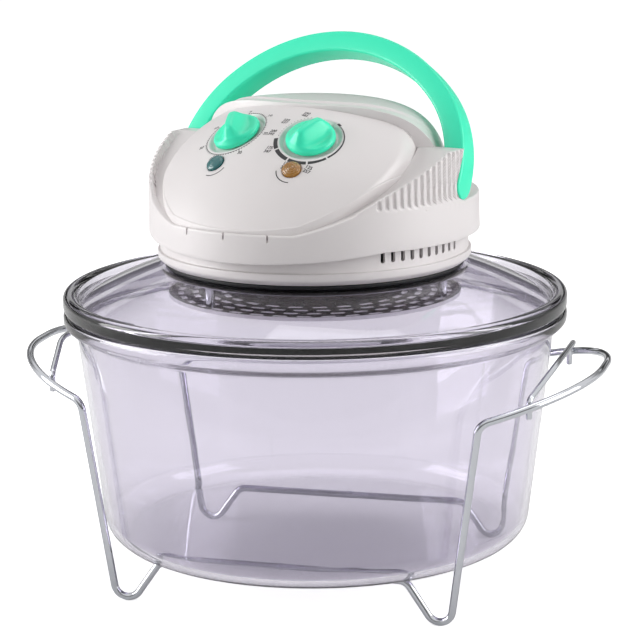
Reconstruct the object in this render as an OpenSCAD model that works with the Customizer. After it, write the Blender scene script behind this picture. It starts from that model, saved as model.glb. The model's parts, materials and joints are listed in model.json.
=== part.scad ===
/* [Glass bowl] */
// Outer diameter of the rim flange shared by the bowl and the lid
rim_d = 333; // [325:1:345]
// Height of the bowl from its base to the top of its rim
bowl_h = 155.5; // [150:0.5:170]
// Outer radius of the bowl wall just above the base corner
bowl_base_r = 143; // [138:0.5:145]
// Thickness of the pressed glass in the bowl and the lid
glass_t = 4.5; // [4:0.25:5]
// Outside radius of the rounded corner at the bowl base
base_corner_r = 18; // [14:1:22]
// Height of the flange at the bowl rim
bowl_flange_h = 10.5; // [8:0.5:12]
// How far the bowl flange stands out from the wall below it
bowl_flange_w = 8; // [6:0.5:9]

/* [Glass lid] */
// Height of the rounded bead round the lid edge
lid_bead_h = 12; // [10:0.5:14]
// Width of the rounded bead round the lid edge
lid_bead_w = 9; // [8:0.5:11]
// Height of the flat land round the lid hole above the bowl rim
lid_land_h = 29; // [26:0.5:34]
// Width of the flat land round the hole in the lid glass
lid_land_w = 9.5; // [8.5:0.25:10]
// Thickness of the black gasket under the head
seal_t = 3; // [2:0.25:4]
// Thickness of the gasket between the glass and the heater pan
pan_seal_t = 1; // [0.8:0.1:1.5]

/* [Stand] */
// Height of the bowl base above the floor
stand_h = 30; // [27:0.5:36]
// Diameter of the chromed stand wire
wire_d = 5; // [4.5:0.25:5.5]
// How far the feet stand inside the bowl wall's radius at its base
foot_inset = 0.9; // [0:0.1:3]
// Direction of the feet measured from the front of the bowl
foot_angle = 50.7; // [49:0.1:52]
// How far the wires under the bowl lie inside the line of the feet
base_wire_inset = 2; // [0:0.5:8]
// Length over which the wire drops from the bowl's base to each foot
foot_run = 27.6; // [25:0.1:32]
// Bend radius of the wire at the feet
foot_bend_r = 9; // [7:0.5:10]
// Height of the bend where a leg turns out into the handle loop
leg_bend_z = 134.8; // [130:0.2:138]
// Clearance between the leg wire and the bowl wall at the leg bend
leg_gap = 6.7; // [5:0.1:9]
// Direction of the leg bends measured from the front of the bowl
leg_angle = 53.4; // [52:0.1:54]
// Bend radius at the top of a leg
leg_bend_r = 9; // [7:0.5:12]
// How far each handle loop reaches out from the leg bends
loop_reach = 63; // [56:0.5:70]
// How far the arms of a handle loop draw together over its reach
loop_draw = 29; // [22:1:36]
// Rise of each handle loop over its reach
loop_rise = 18.2; // [14:0.2:24]
// Diameter of the bail wires
bail_d = 4; // [3.5:0.25:4.5]
// Place of the bail's ends along the rounded part of the loop, in degrees
bail_angle = 16; // [12:0.5:20]
// Clearance between the bail's crest and the bowl wall
bail_gap = 9.3; // [6:0.1:14]
// Half width of the bail's crest from front to rear
bail_crest_y = 33; // [26:1:40]
// Height of the bail's crest
bail_crest_z = 160.5; // [156:0.5:164]
// Bend radius at each end of the bail's crest
bail_bend_r = 45; // [30:1:55]

/* [Heater head] */
// How far the head is turned on the bowl, seen from above
head_turn = 16.1; // [0:0.1:30]
// Outer radius of the base ring where it stands on the gasket
ring_foot_r = 99.5; // [99:0.25:100.5]
// How far the base ring swells out above its foot
ring_swell = 3.9; // [3:0.1:4.5]
// How far the base ring's neck lies outside its foot
neck_step = 2; // [1.5:0.1:2.5]
// Height of the base ring's ledge
ring_ledge_h = 8; // [7:0.25:10]
// Height of the base ring
ring_h = 24.5; // [24:0.25:26]
// Wall thickness of the moulded housings
wall = 2.6; // [2.2:0.1:3]
// How far the casing band stands out beyond the base ring's neck
band_out = 7.9; // [7.3:0.1:9]
// How far the casing band draws in towards the top of the shoulders
band_draft = 1.8; // [1.2:0.1:2.4]
// Height of the band's lower edge at the front
band_low_h = 14; // [12:0.5:16]
// Height of the band's lower edge at the sides
band_side_h = 20.5; // [18:0.5:22]
// Height of the band's lip at the front
lip_h = 33; // [31:0.5:36]
// Height of the sloping deck where it crosses the head's axis
deck_h = 79; // [77:0.25:81]
// Slope of the deck in degrees
deck_slope = 25.5; // [24:0.1:27]
// Height of the flat tops of the shoulders
shoulder_h = 77.7; // [76:0.1:79]
// Height of the low ledge behind the shoulders
ledge_h = 45; // [44:0.25:46]
// Height of the rear cover's crest
dome_h = 105; // [100:0.5:108]
// Gap between the rear cover's sides and the carry handle
dome_gap = 1; // [0.8:0.1:3]
// How far the centre of the rear cover lies forward of the head's axis
dome_shift = 9; // [8:0.5:11]

/* [Control panel] */
// How much smaller the egg shaped control panel is than the rear cover, in radius
panel_inset = 9; // [8.5:0.5:12]
// How far the centre of the control panel lies forward of the head's axis
panel_shift = 25; // [23:0.5:27]
// Radius of the panel's crowned surface
panel_crown_r = 160; // [145:5:200]
// How far the middle of the panel's rear edge lies forward of the head's axis
panel_edge_y = 22; // [18:0.5:26]
// Radius of the curve of the panel's rear edge
panel_edge_r = 148; // [130:1:170]
// Gap between neighbouring housings
seam_gap = 0.4; // [0.3:0.05:0.6]
// Sideways distance of each knob from the centre line
knob_x = 28; // [26:0.5:30]
// How far the knobs lie forward of the head's axis
knob_y = 49; // [47:0.5:51]
// Radius of each knob's skirt
knob_r = 16; // [14:0.25:16.5]
// Height of each knob's grip above its skirt
knob_grip_h = 11; // [8:0.5:14]
// Width of each knob's grip
knob_grip_w = 9; // [7:0.5:11]
// Depth of the dished recess round each knob
dish_depth = 3; // [2:0.25:3.5]
// Radius of the knob shafts
knob_shaft_r = 3; // [2.5:0.25:3.5]
// Sideways distance of each lamp from the centre line
lamp_x = 28.5; // [27:0.5:30]
// How far the lamps lie forward of the head's axis
lamp_y = 73; // [72:0.5:76]
// Radius of each lamp lens
lens_r = 6; // [5:0.25:7]
// Side of the square timer body
timer_w = 34; // [30:0.5:35]
// Depth of the timer body
timer_depth = 21; // [16:0.5:22]
// Radius of the thermostat body
thermostat_r = 15; // [12:0.5:16]
// Depth of the thermostat body
thermostat_depth = 18; // [14:0.5:22]

/* [Carry handle] */
// How far the carry handle's outer faces lie inside the casing band
handle_inset = 0.4; // [0:0.1:0.8]
// Height of the carry handle from its pivots to its outer top
handle_reach = 98; // [96:0.5:100]
// Radial thickness of the carry handle
handle_t = 14; // [12:0.5:14.2]
// Depth of the carry handle from its front face to its rear face
handle_depth = 18; // [15:0.5:18.5]
// Outer radius of the handle's side curves
handle_side_r = 90; // [84:1:92]
// Lean of the carry handle as photographed
handle_lean = 28.5; // [26:0.5:31]
// How far the handle pivots lie behind the head's axis
pivot_y = 6.3; // [5:0.25:8]
// Radius of the pivot pins
pivot_r = 3; // [2.5:0.25:4]
// Depth of the blind pivot bores in the handle
pivot_bore = 11; // [8:0.5:11.5]
// How far the handle folds back from the photographed lean, in degrees
handle_fold = 58; // [50:1:58]
// Stroke of the safety switch plunger when the handle is folded back
plunger_stroke = 2.5; // [1.5:0.25:2.6]

/* [Heater] */
// Thickness of the pressed steel parts
sheet_t = 1.2; // [1:0.1:1.5]
// How far the heater pan's flange reaches out under the glass
pan_flange_w = 6; // [5:0.5:7]
// Radius of the halogen tube ring
tube_ring_r = 62; // [58:0.5:66]
// Radius of the halogen tube
tube_r = 5; // [4:0.25:6]
// Height of the tube's axis below the top plate of the pan
tube_drop = 11.5; // [10:0.25:12]
// Angle taken up by the tube's two ends at the rear
tube_gap_angle = 26; // [22:1:34]
// How far the perforated guard reaches out beyond the pan's flange
guard_out = 0.3; // [-1:0.1:1.5]
// Height of the guard above the bowl rim
guard_h = 7.2; // [5:0.2:9]
// Radius of the guard posts
post_r = 3; // [2.5:0.25:3.5]
// How far the middles of the guard posts lie inside the edge of the lid hole
post_inset = 2.5; // [1.5:0.1:2.9]
// Length of the slots in the guard
slot_l = 9.5; // [8:0.5:11]
// Width of the slots in the guard
slot_w = 4; // [3:0.25:4.5]
// Distance from one ring of slots to the next
slot_row = 9.5; // [8.5:0.25:11]

/* [Motor and fans] */
// Radius of the motor's stator
motor_r = 28; // [25:0.5:30]
// Height of the stator pack
stator_h = 16; // [13:0.5:17]
// Radius of the rotor
rotor_r = 15.8; // [14:0.2:17]
// Air gap between rotor and stator
air_gap = 0.5; // [0.4:0.05:0.8]
// Height of the posts that carry the motor
motor_post_h = 9; // [7:0.5:10]
// Radius of the fan shaft
shaft_r = 3; // [2.5:0.25:3.5]
// Radius of the hot air fan
hot_fan_r = 44; // [38:0.5:48]
// Radius of the cooling fan
cool_fan_r = 32; // [28:0.5:34]
// Width of the fan blades measured along the axis
blade_h = 7; // [5:0.5:8]

/* [Fits] */
// Radial clearance of a turning fit
fit = 0.05; // [0.02:0.01:0.09]
// Clearance beside moving pieces and loose covers
clear = 0.4; // [0.3:0.05:0.6]

/* [Hidden] */
$fn = 64;

// Side of the blocks that cut the forms, larger than the whole oven
far = 400;

// Colours
chrome = "#c9ccd0";
clear_glass = [0.78, 0.78, 0.86, 0.35];
warm_white = "#e6e2e2";
mint = "#48e6bf";
black_rubber = "#26262a";
bright_steel = "#b9bcc0";
brass_colour = "#c2a14d";

// Radii of the head, from the base ring outwards and back in again
ring_r = ring_foot_r + ring_swell;
ring_neck_r = ring_foot_r + neck_step;
band_r = ring_neck_r + band_out;
band_top_r = band_r - band_draft;
handle_half_w = band_r - handle_inset;
dome_r = handle_half_w - handle_t - dome_gap;
panel_r = dome_r - panel_inset;

// Radii of the heater under the head, from the lid's hole inwards
lid_hole_r = ring_foot_r - lid_land_w;
pan_flange_r = lid_hole_r + pan_flange_w;
guard_r = pan_flange_r + guard_out;
post_ring_r = lid_hole_r - post_inset;
pan_r = lid_hole_r - 6;
bolt_ring_r = pan_r - 7;
floor_hole_r = bolt_ring_r - 7;

// Heights that follow from the bowl and the lid
rim_r = rim_d / 2;
rim_z = stand_h + bowl_h;
land_z = rim_z + lid_land_h;
head_z = land_z + seal_t;
wall_top_r = rim_r - bowl_flange_w;
corner_z = stand_h + base_corner_r;
flange_z = rim_z - bowl_flange_h;
wall_slope = atan((wall_top_r - bowl_base_r) / (flange_z - corner_z));
function bowl_r(z) = bowl_base_r + (z - corner_z) * tan(wall_slope);

// The lid's dome passes through the inside of the bead and the edge of the land
dome_edge_r = rim_r - lid_bead_w;
dome_edge_z = rim_z + glass_t + 0.3;
lid_land_r = ring_foot_r;
lid_dome_z = (pow(dome_edge_z, 2) + pow(dome_edge_r, 2) - pow(land_z, 2) - pow(lid_land_r, 2))
    / (2 * (dome_edge_z - land_z));
lid_dome_r = norm([dome_edge_r, dome_edge_z - lid_dome_z]);

// A round wire along a path, with a bend at each inner point. The bends are a hair thicker
// than the straight runs, which enter them by a short lap, so that all fuse cleanly.
lap = 0.5;
bend_swell = 0.06;
function unit(v) = v / norm(v);
function turn_at(p, i) = acos(unit(p[i] - p[i - 1]) * unit(p[i + 1] - p[i]));
function cut_at(p, r, i) = i == 0 || i == len(p) - 1 ? 0 : r[i] * tan(turn_at(p, i) / 2);
function lap_at(p, i) = i == 0 || i == len(p) - 1 ? 0 : lap;
module bend(p, r, d, i) {
    d1 = unit(p[i] - p[i - 1]);
    d2 = unit(p[i + 1] - p[i]);
    n = unit(d2 - d1 * (d1 * d2));
    z = cross(d1, n);
    c = p[i] - d1 * cut_at(p, r, i) + n * r[i];
    multmatrix([
        [-n[0], d1[0], z[0], c[0]],
        [-n[1], d1[1], z[1], c[1]],
        [-n[2], d1[2], z[2], c[2]],
        [0, 0, 0, 1]
    ])
        rotate_extrude(angle = turn_at(p, i), $fn = 96)
            translate([r[i], 0]) circle(d = d + bend_swell, $fn = 24);
}
module run(a, b, d) {
    v = b - a;
    translate(a)
        rotate([0, acos(v[2] / norm(v)), atan2(v[1], v[0])])
            cylinder(h = norm(v), d = d, $fn = 24);
}
module wire(p, r, d) {
    for (i = [0:len(p) - 2]) {
        v = unit(p[i + 1] - p[i]);
        run(p[i] + v * (cut_at(p, r, i) - lap_at(p, i)),
            p[i + 1] - v * (cut_at(p, r, i + 1) - lap_at(p, i + 1)), d);
    }
    for (i = [1:len(p) - 2]) bend(p, r, d, i);
}

// Stand: route of the right wire, from the front weld round to the rear weld
bowl_seat = 0.05;
foot_r = bowl_base_r - foot_inset;
foot_x = foot_r * sin(foot_angle);
foot_y = foot_r * cos(foot_angle);
base_wire_x = foot_x - foot_run;
base_wire_y = foot_y - base_wire_inset;
base_wire_z = stand_h - wire_d / 2 - bowl_seat;
foot_flat = 0.25;
leg_bend_d = bowl_r(leg_bend_z) + leg_gap + wire_d / 2;
leg_bend_x = leg_bend_d * sin(leg_angle);
leg_bend_y = leg_bend_d * cos(leg_angle);
leg_bend = [leg_bend_x, -leg_bend_y, leg_bend_z];
loop_corner = leg_bend + [loop_reach, loop_draw, loop_rise];
function foot_route(z) = [
    [base_wire_x, -base_wire_y, base_wire_z],
    [foot_x, -foot_y, z],
    leg_bend
];
// Lowest point of the bend at a foot, when its corner is at height z
function foot_low(z) = let (
    p = foot_route(z),
    d1 = unit(p[1] - p[0]),
    d2 = unit(p[2] - p[1]),
    n = unit(d2 - d1 * (d1 * d2)),
    c = p[1] - d1 * foot_bend_r * tan(turn_at(p, 1) / 2) + n * foot_bend_r
) c[2] - foot_bend_r * sqrt(1 - pow(cross(d1, n)[2], 2));
function foot_corner(z, tries) = tries == 0 ? z
    : foot_corner(z - foot_low(z) + wire_d / 2 - foot_flat, tries - 1);
foot_z = foot_corner(0, 12);
half_route = [
    [0, -base_wire_y, base_wire_z],
    [base_wire_x, -base_wire_y, base_wire_z],
    [foot_x, -foot_y, foot_z],
    leg_bend,
    loop_corner
];
// The nose of each loop is as round as its arms leave room for
arm_straight = 4;
loop_half_turn = acos(loop_draw / norm(loop_corner - leg_bend)) / 2;
leg_cut = leg_bend_r * tan(turn_at(half_route, 3) / 2);
loop_cut = min(norm(loop_corner - leg_bend) - leg_cut - arm_straight, -loop_corner[1] - arm_straight);
loop_bend_r = loop_cut / tan(loop_half_turn);
half_bends = [0, foot_bend_r, foot_bend_r, leg_bend_r, loop_bend_r];
function flip_y(p) = [p[0], -p[1], p[2]];
stand_route = concat(half_route, [for (i = [4:-1:0]) flip_y(half_route[i])]);
stand_bends = concat(half_bends, [for (i = [4:-1:0]) half_bends[i]]);

module right_side_wire() {
    difference() {
        wire(stand_route, stand_bends, wire_d);
        translate([0, -rim_r, -10]) cube([rim_d, rim_d, 10]);
    }
}
module right_stand_wire() {
    color(chrome) right_side_wire();
}
module left_stand_wire() {
    color(chrome) mirror([1, 0, 0]) right_side_wire();
}

// A bail wire is bowed across each loop between the hand and the hot glass. Its ends turn down
// inside the two arms of the loop, where they are welded.
bail_crest_x = bowl_r(bail_crest_z) + bail_gap + bail_d / 2;
function arm_axis(a) = let (
    back = unit(leg_bend - loop_corner),
    n = unit([0, 1, 0] - back * back[1]),
    start = loop_corner + back * loop_cut,
    centre = start + n * loop_bend_r
) [centre - loop_bend_r * (n * cos(a) + back * sin(a)), n * cos(a) + back * sin(a)];
bail_end = let (at = arm_axis(bail_angle)) at[0] + at[1] * ((wire_d + bail_d) / 2 + 0.15);
bail_half = [
    bail_end - [0, 0, 8],
    bail_end + [0, 0, 4],
    [bail_crest_x, -bail_crest_y, bail_crest_z]
];
bail_route = concat(bail_half, [for (i = [2:-1:0]) flip_y(bail_half[i])]);
bail_bends = [0, 5, bail_bend_r, bail_bend_r, 5, 0];
module right_bail() {
    wire(bail_route, bail_bends, bail_d);
}
module right_bail_wire() {
    color(chrome) right_bail();
}
module left_bail_wire() {
    color(chrome) mirror([1, 0, 0]) right_bail();
}

// Glass bowl: one pressed wall, a rounded base corner and a flange
module glass_bowl() {
    corner_r = bowl_base_r - base_corner_r;
    inner_top = wall_top_r - glass_t / cos(wall_slope);
    color(clear_glass) rotate_extrude() {
        translate([0, stand_h]) square([corner_r, glass_t]);
        intersection() {
            difference() {
                translate([corner_r, corner_z]) circle(base_corner_r);
                translate([corner_r, corner_z]) circle(base_corner_r - glass_t);
            }
            translate([corner_r, stand_h]) square([base_corner_r, base_corner_r]);
        }
        polygon([
            [bowl_base_r, corner_z],
            [wall_top_r, flange_z],
            [rim_r, flange_z + 3.5],
            [rim_r, rim_z],
            [inner_top, rim_z],
            [inner_top, flange_z],
            [bowl_base_r - glass_t, corner_z]
        ]);
    }
}

// Glass lid: rounded bead, shallow dome and a flat land round the hole
module rounded_bar(w, h, r) {
    translate([r, 0]) square([w - 2 * r, h]);
    translate([0, r]) square([w, h - 2 * r]);
    for (x = [r, w - r], y = [r, h - r]) translate([x, y]) circle(r);
}
module glass_lid() {
    bead_r = 3.6;
    color(clear_glass) rotate_extrude() {
        translate([rim_r - lid_bead_w, rim_z]) rounded_bar(lid_bead_w, lid_bead_h, bead_r);
        translate([rim_r - lid_bead_w - 2, rim_z]) square([lid_bead_w - 1, glass_t]);
        intersection() {
            difference() {
                translate([0, lid_dome_z]) circle(lid_dome_r);
                translate([0, lid_dome_z]) circle(lid_dome_r - glass_t);
            }
            translate([lid_land_r, rim_z]) square([rim_r - lid_bead_w / 2 - lid_land_r, lid_land_h + 1]);
        }
        translate([lid_hole_r, land_z - glass_t]) square([lid_land_r + 0.5 - lid_hole_r, glass_t]);
    }
}

// Flat rings and discs that are turned about the head's axis
module ring(r_out, r_in, z, h) {
    translate([0, 0, z]) difference() {
        cylinder(h = h, r = r_out);
        translate([0, 0, -1]) cylinder(h = h + 2, r = r_in);
    }
}
module head_gasket() {
    color(black_rubber) ring(ring_foot_r - 0.5, lid_hole_r + 0.5, land_z, seal_t);
}
module pan_gasket() {
    color(black_rubber) ring(pan_flange_r - 1, lid_hole_r + 0.5, land_z - glass_t - pan_seal_t, pan_seal_t);
}

// Everything on the head is drawn from its own base and turned with it
module on_head() {
    rotate([0, 0, -head_turn]) translate([0, 0, head_z]) children();
}

// Base ring: foot, ledge and recessed neck with air slots on both flanks
floor_t = 3;
boss_r = 4;
boss_ring_r = ring_neck_r - wall - boss_r + 0.6;
boss_angles = [35, 145, 215, 325];
screw_r = 1.6;
bolt_r = 2;
screw_head_h = 1.8;
screw_thread_l = 12;
bolt_angles = [20, 110, 200, 290];
vent_pitch = 4.15;
vent_count = 10;
vent_start = 56.3;
vent_w = 3;
vent_low = 12.5;
module around(r, angles) {
    for (a = angles) rotate([0, 0, a]) translate([r, 0, 0]) children();
}
module base_ring() {
    color(warm_white) on_head() difference() {
        union() {
            rotate_extrude() polygon([
                [floor_hole_r, 0],
                [ring_foot_r, 0],
                [ring_r - 0.8, 1.5],
                [ring_r, 3.5],
                [ring_r, ring_ledge_h - 1],
                [ring_r - 0.6, ring_ledge_h],
                [ring_neck_r, ring_ledge_h],
                [ring_neck_r, ring_h],
                [ring_neck_r - wall, ring_h],
                [ring_neck_r - wall, floor_t],
                [floor_hole_r, floor_t]
            ]);
            around(boss_ring_r, boss_angles) cylinder(h = ring_h, r = boss_r);
        }
        around(boss_ring_r, boss_angles)
            translate([0, 0, ring_h - screw_thread_l - 2]) cylinder(h = screw_thread_l + 3, r = screw_r + fit);
        around(bolt_ring_r, bolt_angles) translate([0, 0, -1]) cylinder(h = floor_t + 2, r = bolt_r + 0.1);
        for (side = [-1, 1], i = [0:vent_count - 1])
            rotate([0, 0, side * (vent_start + vent_pitch * i) - 90])
                translate([ring_neck_r - wall - 1, -vent_w / 2, vent_low])
                    cube([wall + 2, vent_w, ring_h - vent_low - 3]);
    }
}

// The casing fills everything below the sloping deck, and steps down behind the handle
handle_front = handle_depth / 2 + clear;
pivot_h = ledge_h + handle_depth / 2 + clear;
module below_deck(drop) {
    translate([0, 0, deck_h - drop / cos(deck_slope)]) rotate([deck_slope, 0, 0])
        translate([-far / 2, -far / 2, -far]) cube(far);
}
module behind_handle(grow) {
    translate([-far / 2, pivot_y, pivot_h]) rotate([-handle_lean, 0, 0])
        translate([0, -handle_front - grow, -far / 2]) cube(far);
}
// Room for the handle's arms above its pivots, and for its round ends below them
module handle_room(grow) {
    translate([-far / 2, pivot_y, pivot_h]) {
        rotate([-handle_lean, 0, 0]) translate([0, -handle_front - grow, 0]) cube(far);
        rotate([0, 90, 0]) cylinder(h = far, r = handle_front + grow);
        translate([0, 0, -far]) cube(far);
    }
}
// Solid under the casing's outer skin, or under its inner skin when inset is the wall
module casing_form(inset) {
    difference() {
        intersection() {
            cylinder(h = shoulder_h - inset, r1 = band_r - inset, r2 = band_top_r - inset);
            union() {
                below_deck(inset);
                cylinder(h = lip_h - inset, r = band_r);
            }
        }
        intersection() {
            handle_room(inset);
            translate([-far / 2, -far / 2, ledge_h - inset]) cube(far);
        }
    }
}
// Rear cover and panel forms are turned about their own upright axes
function dome_height(q, low, high, power, round) = low + (high - low) * pow(1 - pow(q, power), round);
dome_foot = 32.5;
dome_steps = 18;
module dome_form(inset) {
    points = [
        for (i = [0:dome_steps])
            let (q = sin(90 * i / dome_steps))
            [q * (dome_r - inset), dome_height(q, dome_foot, dome_h - inset, 4, 0.32)]
    ];
    translate([0, -dome_shift, 0]) rotate_extrude() polygon(concat([[0, 0]], points, [[dome_r - inset, 0]]));
}
panel_front_y = -(band_r - wall - 1);
panel_front_h = lip_h + 1.5;
panel_top_h = dome_h - 2.5;
panel_mid = [(panel_front_y - panel_edge_y) / 2, (panel_front_h + panel_top_h) / 2];
panel_span = [-panel_edge_y - panel_front_y, panel_top_h - panel_front_h];
panel_side = sqrt(pow(panel_crown_r, 2) - pow(norm(panel_span) / 2, 2));
crown_centre = panel_mid + panel_side * [panel_span[1], -panel_span[0]] / norm(panel_span);
module panel_form(inset) {
    points = [
        for (i = [0:dome_steps])
            let (q = sin(90 * i / dome_steps))
            [q * (panel_r - inset), dome_height(q, dome_foot, panel_top_h + 6 - inset, 4, 0.3)]
    ];
    intersection() {
        translate([0, crown_centre[0], crown_centre[1]]) sphere(panel_crown_r - inset, $fn = 200);
        translate([0, -panel_shift, 0])
            rotate_extrude() polygon(concat([[0, 0]], points, [[panel_r - inset, 0]]));
        cylinder(h = dome_h, r = band_r - wall - seam_gap - inset);
    }
}
// The rear cover lies outside this upright cylinder's curve, and the panel inside it
module behind_panel_edge(grow) {
    translate([0, panel_edge_r - panel_edge_y, 0]) cylinder(h = dome_h + 10, r = panel_edge_r + grow);
}
// Everything behind the panel's edge, and low down everything behind the shoulders
module behind_seam(inset) {
    behind_panel_edge(-seam_gap / 2 - inset);
    behind_handle(-inset);
}
cover_lap = 2;
edge_rise_l = 47;
shelf_h = 2.5;
shelf_in = boss_ring_r - boss_r;
rib_count = 16;
rib_pitch = 2.76;
rib_start = 53.3;
rib_w = 2.2;
rib_depth = 1.3;
inlet_w = 27;
inlet_h = 14;
inlet_depth = 16;
inlet_low = ring_h + shelf_h + 0.3;
plunger_r = 2;
plunger_x = handle_half_w - 8.5;
module upper_casing() {
    color(warm_white) on_head() difference() {
        union() {
            difference() {
                casing_form(0);
                casing_form(wall);
                panel_form(cover_lap);
                intersection() {
                    dome_form(cover_lap);
                    behind_seam(0);
                }
            }
            ring(band_r - wall + 0.3, shelf_in, ring_h, shelf_h);
        }
        // Lower edge, low at the front and rising to the sides
        translate([-far / 2, -band_r, band_low_h])
            rotate([atan((band_side_h - band_low_h) / edge_rise_l), 0, 0])
                translate([0, -edge_rise_l, -far]) cube([far, 2.5 * edge_rise_l, far]);
        translate([-far / 2, -far / 2, -1]) cube([far, far, band_low_h + 1]);
        translate([-far / 2, edge_rise_l - band_r, -1]) cube([far, far, band_side_h + 1]);
        // Grooves between the grip ribs on both shoulders
        for (side = [-1, 1], i = [0:rib_count - 1])
            rotate([0, 0, side * (rib_start + rib_pitch * i) - 90])
                translate([band_top_r - rib_depth + 0.2, -rib_w / 2, ledge_h + 1.5])
                    cube([6, rib_w, shoulder_h]);
        // Notches in the lip
        for (a = [-16, 0, 16])
            rotate([0, 0, a - 90]) translate([band_r - wall - 1, -0.7, lip_h - 4]) cube([5, 1.4, 6]);
        around(boss_ring_r, boss_angles)
            translate([0, 0, ring_h - 1]) cylinder(h = shelf_h + 2, r = screw_r + 0.3);
        translate([plunger_x, pivot_y, ledge_h - wall - 1]) cylinder(h = wall + 2, r = plunger_r + fit * 2);
        // Opening for the power inlet at the rear
        translate([-inlet_w / 2 - fit, band_r - 8, inlet_low - fit])
            cube([inlet_w + 2 * fit, inlet_depth, inlet_h + 2 * fit]);
    }
}
pin_boss_r = 7;
pin_boss_l = 8;
pin_out = handle_half_w - handle_t - clear;
pin_in = pin_out - pin_boss_l;
module rear_cover() {
    color(warm_white) on_head() difference() {
        union() {
            difference() {
                intersection() {
                    dome_form(0);
                    behind_seam(0);
                }
                intersection() {
                    dome_form(wall);
                    behind_seam(wall);
                }
                casing_form(0);
            }
            for (side = [0, 1]) mirror([side, 0, 0])
                translate([pin_in, pivot_y, pivot_h]) rotate([0, 90, 0]) cylinder(h = pin_boss_l, r = pin_boss_r);
        }
        for (side = [0, 1]) mirror([side, 0, 0])
            translate([pin_in - 1, pivot_y, pivot_h]) rotate([0, 90, 0])
                cylinder(h = pin_boss_l + 2, r = pivot_r + fit);
    }
}

// The panel's surface normal carries each knob and lamp
function crown_point(x, y) = let (dy = y - crown_centre[0])
    [x, y, crown_centre[1] + sqrt(pow(panel_crown_r, 2) - x * x - dy * dy)];
module on_panel(x, y) {
    p = crown_point(x, -y);
    n = unit(p - [0, crown_centre[0], crown_centre[1]]);
    translate(p) rotate([0, acos(n[2]), atan2(n[1], n[0])]) rotate([0, 0, -atan2(n[1], n[0]) - 90])
        rotate([0, 0, 90]) children();
}
dish_r = knob_r + 1.5;
dish_floor = 2.5;
boss_depth = dish_depth + dish_floor;
module control_panel() {
    color(warm_white) on_head() difference() {
        union() {
            difference() {
                panel_form(0);
                panel_form(wall);
                casing_form(0);
                behind_panel_edge(seam_gap / 2);
                behind_handle(seam_gap);
            }
            intersection() {
                for (x = [-knob_x, knob_x]) on_panel(x, knob_y)
                    translate([0, 0, -boss_depth]) cylinder(h = boss_depth, r = dish_r + 4.5);
                panel_form(0.1);
                difference() {
                    translate([-far / 2, -far / 2, 0]) cube(far);
                    behind_panel_edge(seam_gap / 2);
                }
            }
        }
        for (x = [-knob_x, knob_x]) on_panel(x, knob_y) {
            translate([0, 0, -dish_depth]) cylinder(h = dish_depth, r1 = dish_r, r2 = dish_r + 3);
            cylinder(h = 5, r = dish_r + 3);
            translate([0, 0, -boss_depth - 2]) cylinder(h = boss_depth + 3, r = knob_shaft_r + 0.4);
        }
        // Lens holes, with room for each lens flange beside the knob bosses
        for (x = [-lamp_x, lamp_x]) on_panel(x, lamp_y) {
            translate([0, 0, -wall - 3]) cylinder(h = wall + 6, r = lens_r + fit);
            translate([0, 0, -2 * lens_back]) cylinder(h = lens_back + lens_flange_t + fit, r = lens_r + 2.3);
        }
    }
}

// Lamps behind coloured lenses
// The lens flange stays clear of the crowned wall above it
lens_flange_t = 1.4;
lens_back = wall + lens_flange_t + 0.15 + pow(lens_r + 2, 2) / (2 * panel_crown_r);
lamp_l = 16;
module lens() {
    difference() {
        union() {
            translate([0, 0, -lens_back]) cylinder(h = lens_back + 0.6, r = lens_r);
            translate([0, 0, -lens_back]) cylinder(h = lens_flange_t, r = lens_r + 2);
            intersection() {
                translate([0, 0, 2.2 - lens_r * 2]) sphere(lens_r * 2);
                translate([0, 0, 0.5]) cylinder(h = 4, r = lens_r);
            }
        }
        translate([0, 0, -lens_back - 1]) cylinder(h = 3, r = lens_r - 1.5);
    }
}
module power_lens() {
    color("#157f86") on_head() on_panel(-lamp_x, lamp_y) lens();
}
module heat_lens() {
    color("#b98a2c") on_head() on_panel(lamp_x, lamp_y) lens();
}
module neon_lamps() {
    color("#e8a070") on_head() for (x = [-lamp_x, lamp_x]) on_panel(x, lamp_y)
        translate([0, 0, -lens_back - lamp_l + 2]) cylinder(h = lamp_l, r = lens_r / 2);
}

// Timer and thermostat with their shafts and knobs
shaft_sink = 12;
knob_bore = 8;
module control_shaft() {
    translate([0, 0, -boss_depth - shaft_sink]) cylinder(h = shaft_sink + boss_depth + knob_bore - dish_depth,
        r = knob_shaft_r);
}
module shaft_hole() {
    translate([0, 0, -boss_depth - shaft_sink - clear])
        cylinder(h = shaft_sink + clear + 1, r = knob_shaft_r + fit);
}
module timer_body() {
    color(bright_steel) on_head() on_panel(-knob_x, knob_y) difference() {
        translate([-timer_w / 2, -timer_w / 2, -boss_depth - timer_depth]) cube([timer_w, timer_w, timer_depth]);
        shaft_hole();
    }
}
module thermostat_body() {
    color(bright_steel) on_head() on_panel(knob_x, knob_y) difference() {
        union() {
            translate([0, 0, -boss_depth - thermostat_depth]) cylinder(h = thermostat_depth, r = thermostat_r);
            translate([-thermostat_r - 3, -4, -boss_depth - 2]) cube([2 * thermostat_r + 6, 8, 2]);
        }
        shaft_hole();
    }
}
module timer_shaft() {
    color(brass_colour) on_head() on_panel(-knob_x, knob_y) control_shaft();
}
module thermostat_shaft() {
    color(brass_colour) on_head() on_panel(knob_x, knob_y) control_shaft();
}
skirt_h = 3;
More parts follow.
